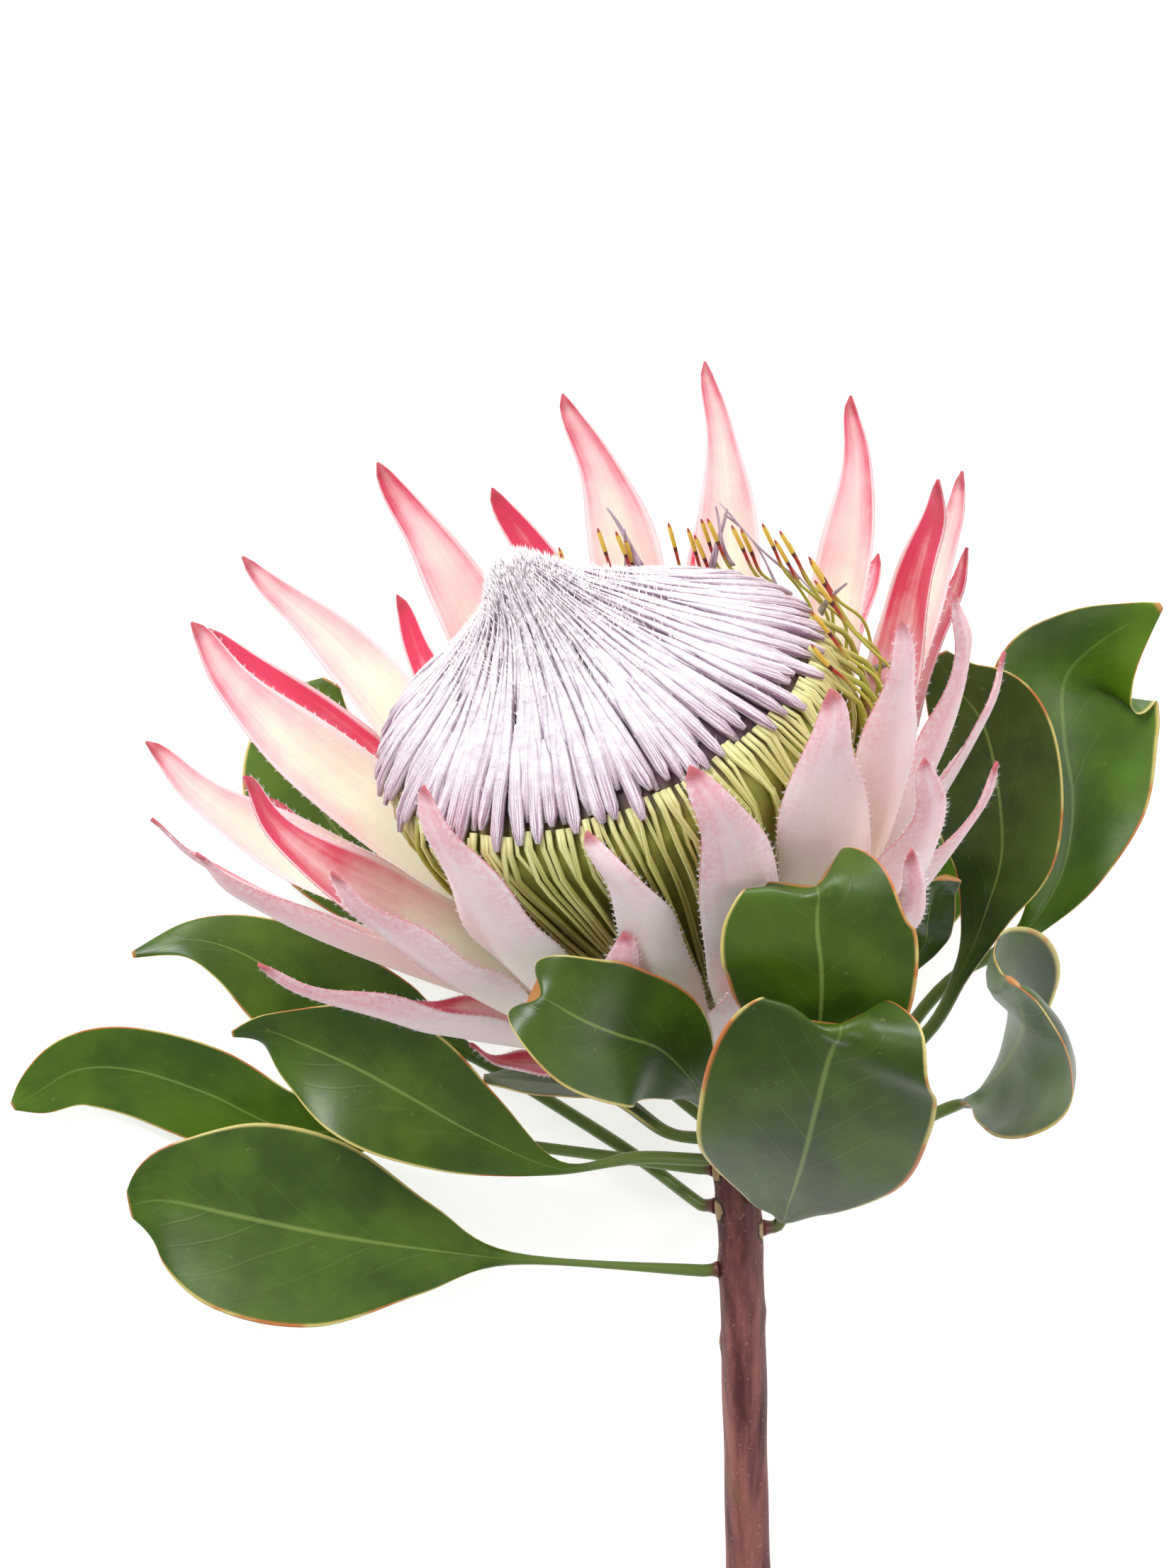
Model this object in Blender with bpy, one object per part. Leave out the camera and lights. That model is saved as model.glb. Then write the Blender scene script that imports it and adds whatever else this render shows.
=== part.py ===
"""King protea, cut with its leaves and lying on its back: a stem, leaves, bracts and florets.

Lengths in the tables are millimetres and angles are degrees. The cut end points to -Y and the
flower head to +Y, and +Z is up. At the end the whole piece is moved so that the origin is under
the middle of its box, on the surface that it lies on.
"""

import math
from collections import namedtuple

import bmesh
import bpy
from mathutils import Vector

MM = 0.001
UP = Vector((0.0, 0.0, 1.0))

# ---------------------------------------------------------------- driving dimensions

# The foot of the head, and how its axis rises from the table and leans to the left.
HEAD_BASE = Vector((28.0, -54.0, 27.0))
HEAD_RISE = 32.0
HEAD_LEAN = 18.0

# Stem centre line, from the cut end to just short of the head.
STEM_ROUTE = [(35.0, -202.0, 5.0), (34.0, -160.0, 9.4), (32.8, -115.0, 16.2), (31.2, -80.0, 21.6)]
STEM_RADIUS = 4.7
STEM_SIDES = 20

# Receptacle, the woody cup that carries the bracts: height along the head's axis, radius.
RECEPTACLE = [(-8, 5.0), (-2, 5.6), (3, 8.4), (8, 12.4), (13, 16.6), (18, 20.2), (23, 22.4), (26, 22.6)]

# The packed florets: height, radius. The peak stands off the axis, to the left.
FLORETS = [
    (26.3, 20.5), (40, 28.0), (55, 36.5), (70, 44.0), (79, 47.6), (85, 46.4),
    (92, 40.0), (98, 31.5), (104, 23.0), (110, 15.5), (115, 10.0), (120, 6.5), (124, 3.0),
]
FLORET_SIDES = 20
PEAK_SHIFT = 11.0
PEAK_START = 60.0

# Rings of bracts: height and distance of the foot, its width and thickness, and its first spread.
Ring = namedtuple("Ring", "height distance width thickness spread")
RINGS = {
    "inner": Ring(20.8, 22.9, 7.6, 2.0, 50.0),
    "middle": Ring(14.6, 19.4, 7.0, 2.0, 56.0),
    "outer": Ring(8.8, 14.9, 5.8, 1.8, 62.0),
    "scale": Ring(3.8, 10.7, 5.0, 1.6, 68.0),
}
BEND_END = 0.35
TWIST_END = 0.55
WIDEST = 0.5
TIP_THICKNESS = 0.9
BRACT_SIDES = 10
BRACT_STEPS = 8

# Azimuth 0 is to the right of the head, 90 faces up, 180 is to the left and 270 faces the table.
# Spread is the angle off the axis beyond the foot, hook bends the tip back in over the florets,
# swing turns the blade to another azimuth, cup is how far the edges stand in from the middle, and
# twist turns the blade about its own length.
Bract = namedtuple("Bract", "azimuth length width spread hook swing cup twist")
BRACTS = {
    "inner": [
        Bract(30, 93, 15, 30, 20, -4, 2.4, -42), Bract(52, 90, 20, 30, 32, 0, 2.8, -34),
        Bract(77, 90, 18, 30, 34, 0, 2.6, 0), Bract(101, 76, 13, 28, 34, 0, 2.0, 0),
        Bract(137, 90, 19, 26, 30, 6, 2.6, 8), Bract(181, 92, 18, 41, 16, 0, 2.4, -24),
        Bract(208, 112, 19, 39, 10, 0, 2.4, -16), Bract(229, 113, 16, 42, 12, 0, 2.4, 0),
        Bract(250, 113, 17, 36, 14, 0, 2.4, 0), Bract(280, 112, 16, 34, 12, 0, 2.4, 0),
        Bract(299, 114, 15, 38, 12, 0, 2.4, 0), Bract(322, 108, 16, 40, 12, 0, 2.4, 6),
        Bract(355, 106, 16, 31, 14, 0, 2.4, 22),
    ],
    "middle": [
        Bract(12, 101, 14, 39, 23, 0, 2.2, -30), Bract(41, 88, 15, 45, 22, 0, 2.2, -32),
        Bract(151, 92, 16, 38, 20, 0, 2.2, 22), Bract(173, 104, 15, 47, 14, 0, 2.2, 38),
        Bract(199, 112, 16, 51, 8, 6, 2.2, -18), Bract(221, 115, 18, 46, 12, -2, 2.2, -6),
        Bract(243, 96, 14, 50, 16, 0, 2.0, 0), Bract(266, 106, 15, 40, 16, 0, 2.0, 0),
        Bract(295, 109, 14, 43, 14, 0, 2.0, 0), Bract(317, 99, 13, 46, 18, 0, 2.0, 0),
        Bract(340, 108, 14, 42, 14, 0, 2.0, 10),
    ],
    "outer": [
        Bract(0, 88, 12, 50.5, 18, 5, 1.8, -26), Bract(25, 80, 12, 52.5, 20, -1, 1.8, -22),
        Bract(57, 92, 13, 50, 18, -12, 1.8, -30), Bract(82, 58, 14, 44, 20, 0, 1.8, 0),
        Bract(110, 68, 17, 34, 20, 0, 2.4, 0), Bract(159, 96, 16, 53, 18, 0, 1.8, 34),
        Bract(188, 115, 14, 51, 16, 0, 1.8, 28), Bract(212, 92, 13, 60, 10, 0, 1.8, 0),
        Bract(236, 98, 14, 52.5, 10, 0, 1.8, 0), Bract(262, 94, 13, 42.8, 8, 0, 1.8, 0),
        Bract(284, 86, 12, 45.6, 8, 0, 1.8, 0), Bract(312, 94, 14, 58.8, 10, 0, 1.8, 0),
        Bract(338, 100, 14, 47, 12, 0, 1.8, 0),
    ],
    "scale": [
        Bract(194, 54, 12, 70, 8, -4, 1.4, 0), Bract(162, 46, 12, 66, 8, 6, 1.4, 0),
        Bract(127, 34, 12, 70, 8, 4, 1.4, 0), Bract(92, 28, 12, 68, 8, 0, 1.4, 0),
        Bract(50, 34, 12, 60, 12, 0, 1.4, 0), Bract(10, 44, 12, 66, 10, 0, 1.4, 0),
        Bract(325, 46, 12, 70, 10, 0, 1.4, 0),
    ],
}

# Leaves. Each leaves the stem at a length along it (Y) and an angle round it, 0 to the right and
# 90 up. Its stations are x, y, z, half the width and roll, from the stalk to the tip.
Leaf = namedtuple("Leaf", "y angle cup wave stations")
PETIOLE_RADIUS = 1.35
BLADE_THICKNESS = 1.3
SEAT_GAP = 0.35
SEAT_LENGTH = 3.0
LEAF_SIDES = 10
LEAF_STEPS = 2
LEAVES = {
    "lower_left": Leaf(-102, 170, 0.10, 0.0, [
        (-16, -100, 20, 1.4, 0), (-34, -98, 21, 9.5, 4), (-54, -95, 21, 19.5, 4),
        (-74, -91, 20, 20, 4), (-89, -88, 18, 12, 2), (-97, -89, 16, 3, 0),
    ]),
    "far_left": Leaf(-81, 200, 0.15, 0.0, [
        (-35, -74, 13, 1.4, 0), (-47, -74, 11, 4, -8), (-65, -73, 9, 9, -16), (-81, -66, 7, 11, -16),
        (-97, -61, 6, 10, -16), (-109, -61, 5, 8, -12), (-118, -66, 5, 5, -8), (-123, -69, 5, 1, 0),
    ]),
    "left": Leaf(-78, 150, 0.15, 0.0, [
        (10, -78, 30, 1.4, 0), (-6, -80, 32, 1.5, 0), (-23, -73, 34, 9, 8), (-37, -65, 36, 14, 8),
        (-48, -59, 36, 14, 4), (-59, -54, 35, 9, -10), (-67, -51, 34, 4, -30), (-74, -52, 33, 0.8, -40),
    ]),
    "upper_left": Leaf(-89, 200, 0.10, 0.0, [
        (7, -77, 11, 1.4, 0), (-27, -56, 11, 2, 0), (-40, -50, 14, 8, 0), (-54, -47, 15, 14, 4),
        (-64, -41, 17, 12, 10), (-75, -35, 19, 8, 20), (-85, -33, 20, 4, 26), (-96, -36, 20, 0.8, 30),
    ]),
    "back_left": Leaf(-71, 225, 0.05, 0.0, [
        (-4, -49, 10, 1.4, 0), (-35, -31, 5, 6, 0), (-50, -15, 3, 14, 0), (-59, -1, 2.4, 15, 0),
        (-59, 13, 1.9, 11, 0), (-55, 22, 1.4, 2, 0),
    ]),
    "side_left": Leaf(-74, 182, 0.15, 0.0, [
        (16, -73, 21, 1.4, 60), (6, -66, 21, 3, 66), (-4, -64, 22, 7, 70), (-13, -63, 22, 7, 70),
        (-22, -62, 22, 2, 70),
    ]),
    "front_small": Leaf(-73, 100, 0.15, 0.0, [
        (27, -70, 52, 1.4, 0), (23, -63, 74, 2, 0), (20, -58, 84, 6, 0), (14, -52, 91, 12, 4),
        (6, -49, 96, 13.5, 6), (-1, -46, 99, 13, 6), (-8, -42, 100, 9, 6), (-12, -40, 98, 3, 6),
    ]),
    "front_upper": Leaf(-79, 70, 0.08, 0.0, [
        (39, -69, 66, 1.4, -10), (44, -56, 93, 3, -10), (45, -46, 103, 15, -8), (45, -36, 109, 18.5, -6),
        (44, -28, 112, 18.5, -4), (44, -21, 113, 14, -2), (43, -18, 108, 8, 0),
    ]),
    "front_lower": Leaf(-86, 55, 0.08, 0.0, [
        (39, -87, 66, 1.4, 0), (40, -83, 79, 9, 0), (42, -74, 93, 20, 0), (44, -63, 105, 22.5, 0),
        (46, -53, 114, 21.5, 0), (48, -47, 118, 16, 0), (48, -45, 113, 8, 0),
    ]),
    "right": Leaf(-77, 340, 0.15, 0.0, [
        (68, -55, 28, 1.4, -10), (78, -39, 32, 2, -16), (83, -26, 34, 6, -20), (86, -14, 36, 12, -20),
        (85, 1, 35, 14.5, -20), (82, 13, 34, 13.5, -20), (76, 21, 33, 7, -20), (73, 27, 32, 2, -20),
    ]),
    "far_right": Leaf(-94, 350, 0.35, 0.0, [
        (71, -47, 20, 1.4, 0), (87, -35, 20, 1.5, 0), (94, -29, 20, 3, 0), (100, -18, 21, 8, 6),
        (102, -4, 21, 15, 12), (100, 10, 22, 19, 16), (100, 22, 24, 18, 16), (107, 30, 30, 11, 16),
        (119, 37, 36, 0.8, 16),
    ]),
    "curled_right": Leaf(-86, 5, 0.10, 0.25, [
        (73, -69, 26, 1.4, 60), (80, -66, 32, 2, 80), (85, -61, 40, 12, 84), (88, -55, 50, 20, 86),
        (89, -50, 60, 22, 90), (88, -46, 70, 17, 94), (86, -42, 78, 8, 98), (84, -39, 82, 2, 100),
    ]),
    "curled_small": Leaf(-75, 40, 0.20, 0.0, [
        (61, -43, 48, 1.4, 20), (68, -33, 54, 4, 30), (69, -28, 53, 6.5, 40), (70, -22, 55, 6, 50),
        (73, -19, 58, 4, 60),
    ]),
    "back_right": Leaf(-72, 315, 0.05, 0.0, [
        (60, -44, 16, 1.4, 0), (66, -31, 15, 8, 0), (70, -19, 15, 13, 0), (72, -9, 16, 13, 0),
        (74, 1, 16, 8, 0), (75, 7, 16, 2, 0),
    ]),
}

# ---------------------------------------------------------------- shapes

# One cross-section of a body: its centre, the directions across it and out of it, its half sizes,
# and how far its edges bend out of line, both to one side (bend) or one each way (wave).
Section = namedtuple("Section", "centre across out half thick bend wave")


def radians_of(*degrees):
    return [math.radians(value) for value in degrees]


def smooth(x):
    x = min(max(x, 0.0), 1.0)
    return x * x * (3.0 - 2.0 * x)


def head_directions():
    """The head's axis, the direction of azimuth 0 and the direction of azimuth 90."""
    rise, lean = radians_of(HEAD_RISE, HEAD_LEAN)
    axis = Vector((-math.sin(lean) * math.cos(rise), math.cos(lean) * math.cos(rise), math.sin(rise)))
    right = Vector((math.cos(lean), math.sin(lean), 0.0))
    return axis, right, right.cross(axis)


AXIS, RIGHT, FACE = head_directions()


def outward(azimuth):
    angle = math.radians(azimuth)
    return RIGHT * math.cos(angle) + FACE * math.sin(angle)


def body(name, sections, sides):
    """A closed body through the sections: a cylinder whose rings are moved onto them."""
    steps = len(sections) - 1
    bm = bmesh.new()
    bmesh.ops.create_cone(bm, cap_ends=True, segments=sides, radius1=1, radius2=1, depth=1)
    uprights = [e for e in bm.edges if abs(e.verts[0].co.z - e.verts[1].co.z) > 0.5]
    bmesh.ops.subdivide_edges(bm, edges=uprights, cuts=steps - 1)
    origin = sections[0].centre
    for vert in bm.verts:
        section = sections[round((vert.co.z + 0.5) * steps)]
        u, v = Vector(vert.co[:2]).normalized()
        lift = section.thick * v + section.bend * u * u + section.wave * math.sin(math.pi * u)
        place = section.centre + section.across * (section.half * u) + section.out * lift
        vert.co = (place - origin) * MM
    mesh = bpy.data.meshes.new(name)
    bm.to_mesh(mesh)
    bm.free()
    piece = bpy.data.objects.new(name, mesh)
    piece.location = origin * MM
    bpy.context.collection.objects.link(piece)
    return piece


def round_section(centre, along, radius):
    across = (RIGHT - along * RIGHT.dot(along)).normalized()
    return Section(centre, across, along.cross(across), radius, radius, 0.0, 0.0)


def blend(points, place):
    """The value on a smooth curve through equally spaced points, at place 0 to len(points) - 1."""
    first = min(int(place), len(points) - 2)
    t = place - first
    p0, p1, p2, p3 = (points[min(max(first + k, 0), len(points) - 1)] for k in (-1, 0, 1, 2))
    return 0.5 * (2 * p1 + (p2 - p0) * t + (2 * p0 - 5 * p1 + 4 * p2 - p3) * t * t
                  + (3 * p1 - p0 - 3 * p2 + p3) * t * t * t)


def stem_curve():
    """The stem's centre line, with the first point of the receptacle as its last."""
    return [Vector(p) for p in STEM_ROUTE] + [HEAD_BASE + AXIS * RECEPTACLE[0][0]]


def stem_sections():
    route = stem_curve()
    steps = 2 * (len(route) - 1)
    sections = []
    for step in range(steps):
        place = step / 2
        along = (blend(route, place + 0.1) - blend(route, max(place - 0.1, 0))).normalized()
        sections.append(round_section(blend(route, place), along, STEM_RADIUS))
    for height, radius in RECEPTACLE:
        sections.append(round_section(HEAD_BASE + AXIS * height, AXIS, radius))
    return sections


def floret_sections():
    top = FLORETS[-1][0]
    sections = []
    for height, radius in FLORETS:
        shift = PEAK_SHIFT * max(0.0, (height - PEAK_START) / (top - PEAK_START)) ** 2
        sections.append(round_section(HEAD_BASE + AXIS * height - RIGHT * shift, AXIS, radius))
    return sections


def bract_width(bract, foot_width, s):
    """Full width at s, 0 at the foot and 1 at the tip."""
    if s < WIDEST:
        return foot_width + (bract.width - foot_width) * math.sin(math.pi / 2 * s / WIDEST)
    u = (s - WIDEST) / (1.0 - WIDEST)
    return bract.width * (0.05 + 0.95 * (1.0 - u) ** 0.75 * (1.0 + 0.75 * u))


def bract_sections(ring, bract):
    fine = 6
    steps = BRACT_STEPS * fine
    point = HEAD_BASE + AXIS * ring.height + outward(bract.azimuth) * ring.distance
    sections = []
    for step in range(steps + 1):
        s = step / steps
        spread = ring.spread + (bract.spread - ring.spread) * smooth(s / BEND_END)
        angle = math.radians(spread - bract.hook * s * s)
        away = outward(bract.azimuth + bract.swing * s)
        along = AXIS * math.cos(angle) + away * math.sin(angle)
        out = away * math.cos(angle) - AXIS * math.sin(angle)
        if step % fine == 0:
            half = bract_width(bract, ring.width, s) / 2
            thick = (ring.thickness + (TIP_THICKNESS - ring.thickness) * s) / 2
            cup = -bract.cup * (2 * half / bract.width) ** 2
            turn = math.radians(bract.twist) * smooth(s / TWIST_END)
            across = out.cross(along) * math.cos(turn) + out * math.sin(turn)
            sections.append(Section(point, across, along.cross(across), half, thick, cup, 0.0))
        point = point + along * (bract.length / steps)
    return sections


def stem_at(y):
    """The centre and the direction of the stem at a distance along Y."""
    route = stem_curve()
    low, high = 0.0, len(route) - 1.0
    while high - low > 0.001:
        middle = (low + high) / 2
        if blend(route, middle).y < y:
            low = middle
        else:
            high = middle
    centre = blend(route, low)
    return centre, (blend(route, low + 0.05) - centre).normalized()


def leaf_sections(leaf):
    turn = math.radians(leaf.angle)
    away = Vector((math.cos(turn), 0.0, math.sin(turn)))
    centre, along_stem = stem_at(leaf.y)
    away = (away - along_stem * away.dot(along_stem)).normalized()
    start = centre + away * (STEM_RADIUS + SEAT_GAP)
    centres = [start, start + away * SEAT_LENGTH] + [Vector(s[:3]) for s in leaf.stations]
    halves = [PETIOLE_RADIUS] * 2 + [s[3] for s in leaf.stations]
    rolls = [math.radians(leaf.stations[0][4])] * 2 + [math.radians(s[4]) for s in leaf.stations]
    steps = LEAF_STEPS * (len(centres) - 1)
    sections = []
    for step in range(steps + 1):
        place = step / LEAF_STEPS
        if place < 1:
            centre, along = start.lerp(centres[1], place), away
        else:
            centre = blend(centres, place)
            ahead = min(place + 0.2, len(centres) - 1)
            along = (blend(centres, ahead) - blend(centres, max(place - 0.2, 1))).normalized()
        level = UP.cross(along).normalized()
        steep = along.cross(level)
        roll = blend(rolls, place)
        across = level * math.cos(roll) + steep * math.sin(roll)
        half = max(blend(halves, place), 0.6)
        blade = smooth((half - PETIOLE_RADIUS) / 4.0)
        thick = PETIOLE_RADIUS + (BLADE_THICKNESS / 2 - PETIOLE_RADIUS) * blade
        thick = min(thick, half)
        sections.append(Section(
            centre, across, along.cross(across), half, thick,
            leaf.cup * half * blade, leaf.wave * half * blade,
        ))
    return sections


# ---------------------------------------------------------------- materials

def material(name, colour, roughness):
    finish = bpy.data.materials.new(name)
    finish.use_nodes = True
    shader = finish.node_tree.nodes["Principled BSDF"]
    shader.inputs["Base Color"].default_value = (*colour, 1.0)
    shader.inputs["Roughness"].default_value = roughness
    shader.inputs["Metallic"].default_value = 0.0
    return finish


STEM_LOOK = ((0.14, 0.055, 0.055), 0.60)
FLORET_LOOK = ((0.62, 0.55, 0.60), 0.95)
LEAF_LOOK = ((0.045, 0.115, 0.025), 0.35)
BRACT_LOOKS = {
    "inner": ((0.80, 0.50, 0.50), 0.75),
    "middle": ((0.78, 0.46, 0.48), 0.75),
    "outer": ((0.74, 0.38, 0.42), 0.75),
    "scale": ((0.55, 0.20, 0.24), 0.75),
}


def main():
    for item in list(bpy.data.objects):
        bpy.data.objects.remove(item, do_unlink=True)
    pieces = [(body("stem", stem_sections(), STEM_SIDES), STEM_LOOK)]
    pieces.append((body("florets", floret_sections(), FLORET_SIDES), FLORET_LOOK))
    for ring_name, bracts in BRACTS.items():
        for number, bract in enumerate(bracts, 1):
            sections = bract_sections(RINGS[ring_name], bract)
            piece = body(f"bract_{ring_name}_{number:02d}", sections, BRACT_SIDES)
            pieces.append((piece, BRACT_LOOKS[ring_name]))
    for leaf_name, leaf in LEAVES.items():
        pieces.append((body(f"leaf_{leaf_name}", leaf_sections(leaf), LEAF_SIDES), LEAF_LOOK))

    flower = bpy.data.objects.new("king_protea", None)
    bpy.context.collection.objects.link(flower)
    corners = [p.location + v.co for p, _ in pieces for v in p.data.vertices]
    low = Vector([min(c[k] for c in corners) for k in range(3)])
    high = Vector([max(c[k] for c in corners) for k in range(3)])
    flower.location = (-(low.x + high.x) / 2, -(low.y + high.y) / 2, -low.z)
    for piece, (colour, roughness) in pieces:
        piece.parent = flower
        piece.data.materials.append(material(f"{piece.name}_finish", colour, roughness))


main()
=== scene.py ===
"""A king protea, cut with its leaves and lying on its back on a pale floor, seen from above.

Lengths are millimetres and angles are degrees until a mesh is written. The tables are those of the
solid model, so each piece is grown finer in the place of its own node.
"""

import math
import random
from collections import namedtuple

import bmesh
import bpy
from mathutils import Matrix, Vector


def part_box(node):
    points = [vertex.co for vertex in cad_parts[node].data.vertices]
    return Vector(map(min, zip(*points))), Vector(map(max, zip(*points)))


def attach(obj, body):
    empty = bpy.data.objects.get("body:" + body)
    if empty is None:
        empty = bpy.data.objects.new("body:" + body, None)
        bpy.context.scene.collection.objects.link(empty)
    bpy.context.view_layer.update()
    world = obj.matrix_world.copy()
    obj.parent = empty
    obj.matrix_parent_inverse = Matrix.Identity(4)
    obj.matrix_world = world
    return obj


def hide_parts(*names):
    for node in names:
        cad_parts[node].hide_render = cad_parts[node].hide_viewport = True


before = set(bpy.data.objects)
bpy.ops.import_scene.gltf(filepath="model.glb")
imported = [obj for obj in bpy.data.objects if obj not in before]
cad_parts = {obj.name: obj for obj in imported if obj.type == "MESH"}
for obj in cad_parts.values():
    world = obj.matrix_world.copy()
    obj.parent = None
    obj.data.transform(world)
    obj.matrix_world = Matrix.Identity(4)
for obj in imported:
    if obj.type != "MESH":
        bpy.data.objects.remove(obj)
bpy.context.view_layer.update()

MM = 0.001
UP = Vector((0.0, 0.0, 1.0))
random.seed(41)

# ---- driving dimensions

# The foot of the head, and how its axis rises from the table and leans to the left.
HEAD_BASE = Vector((28.0, -54.0, 27.0))
HEAD_RISE = 32.0
HEAD_LEAN = 18.0

# Stem centre line, from the cut end to just short of the head.
STEM_ROUTE = [(35.0, -202.0, 5.0), (34.0, -160.0, 9.4), (32.8, -115.0, 16.2), (31.2, -80.0, 21.6)]
STEM_RADIUS = 4.7

# Receptacle, the woody cup that carries the bracts: height along the head's axis, radius.
RECEPTACLE = [(-8, 5.0), (-2, 5.6), (3, 8.4), (8, 12.4), (13, 16.6), (18, 20.2), (23, 22.4), (26, 22.6)]

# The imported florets: height, radius. The peak stands off the axis, to the left.
FLORETS = [
    (26.3, 20.5), (40, 28.0), (55, 36.5), (70, 44.0), (79, 47.6), (85, 46.4),
    (92, 40.0), (98, 31.5), (104, 23.0), (110, 15.5), (115, 10.0), (120, 6.5), (124, 3.0),
]
FLORET_SIDES = 20
PEAK_SHIFT = 11.0
PEAK_START = 60.0

# Rings of bracts: height and distance of the foot, its width and thickness, and its first spread.
Ring = namedtuple("Ring", "height distance width thickness spread")
RINGS = {
    "inner": Ring(20.8, 22.9, 7.6, 2.0, 50.0),
    "middle": Ring(14.6, 19.4, 7.0, 2.0, 56.0),
    "outer": Ring(8.8, 14.9, 5.8, 1.8, 62.0),
    "scale": Ring(3.8, 10.7, 5.0, 1.6, 68.0),
}
BEND_END = 0.35
TWIST_END = 0.55
WIDEST = 0.5
TIP_THICKNESS = 0.9

# Azimuth 0 is to the right of the head, 90 faces up, 180 is to the left and 270 faces the table.
# Spread is the angle off the axis beyond the foot, hook bends the tip back in over the florets,
# swing turns the blade to another azimuth, cup is how far the edges stand in from the middle, and
# twist turns the blade about its own length.
Bract = namedtuple("Bract", "azimuth length width spread hook swing cup twist")
BRACTS = {
    "inner": [
        (30, 93, 15, 30, 20, -4, 2.4, -42), (52, 90, 20, 30, 32, 0, 2.8, -34),
        (77, 90, 18, 30, 34, 0, 2.6, 0), (101, 76, 13, 28, 34, 0, 2.0, 0),
        (137, 90, 19, 26, 30, 6, 2.6, 8), (181, 92, 18, 41, 16, 0, 2.4, -24),
        (208, 112, 19, 39, 10, 0, 2.4, -16), (229, 113, 16, 42, 12, 0, 2.4, 0),
        (250, 113, 17, 36, 14, 0, 2.4, 0), (280, 112, 16, 34, 12, 0, 2.4, 0),
        (299, 114, 15, 38, 12, 0, 2.4, 0), (322, 108, 16, 40, 12, 0, 2.4, 6),
        (355, 106, 16, 31, 14, 0, 2.4, 22),
    ],
    "middle": [
        (12, 101, 14, 39, 23, 0, 2.2, -30), (41, 88, 15, 45, 22, 0, 2.2, -32),
        (151, 92, 16, 38, 20, 0, 2.2, 22), (173, 104, 15, 47, 14, 0, 2.2, 38),
        (199, 112, 16, 51, 8, 6, 2.2, -18), (221, 115, 18, 46, 12, -2, 2.2, -6),
        (243, 96, 14, 50, 16, 0, 2.0, 0), (266, 106, 15, 40, 16, 0, 2.0, 0),
        (295, 109, 14, 43, 14, 0, 2.0, 0), (317, 99, 13, 46, 18, 0, 2.0, 0),
        (340, 108, 14, 42, 14, 0, 2.0, 10),
    ],
    "outer": [
        (0, 88, 12, 50.5, 18, 5, 1.8, -26), (25, 80, 12, 52.5, 20, -1, 1.8, -22),
        (57, 92, 13, 50, 18, -12, 1.8, -30), (82, 58, 14, 44, 20, 0, 1.8, 0),
        (110, 68, 17, 34, 20, 0, 2.4, 0), (159, 96, 16, 53, 18, 0, 1.8, 34),
        (188, 115, 14, 51, 16, 0, 1.8, 28), (212, 92, 13, 60, 10, 0, 1.8, 0),
        (236, 98, 14, 52.5, 10, 0, 1.8, 0), (262, 94, 13, 42.8, 8, 0, 1.8, 0),
        (284, 86, 12, 45.6, 8, 0, 1.8, 0), (312, 94, 14, 58.8, 10, 0, 1.8, 0),
        (338, 100, 14, 47, 12, 0, 1.8, 0),
    ],
    "scale": [
        (194, 54, 12, 70, 8, -4, 1.4, 0), (162, 46, 12, 66, 8, 6, 1.4, 0),
        (127, 34, 12, 70, 8, 4, 1.4, 0), (92, 28, 12, 68, 8, 0, 1.4, 0),
        (50, 34, 12, 60, 12, 0, 1.4, 0), (10, 44, 12, 66, 10, 0, 1.4, 0),
        (325, 46, 12, 70, 10, 0, 1.4, 0),
    ],
}

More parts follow.
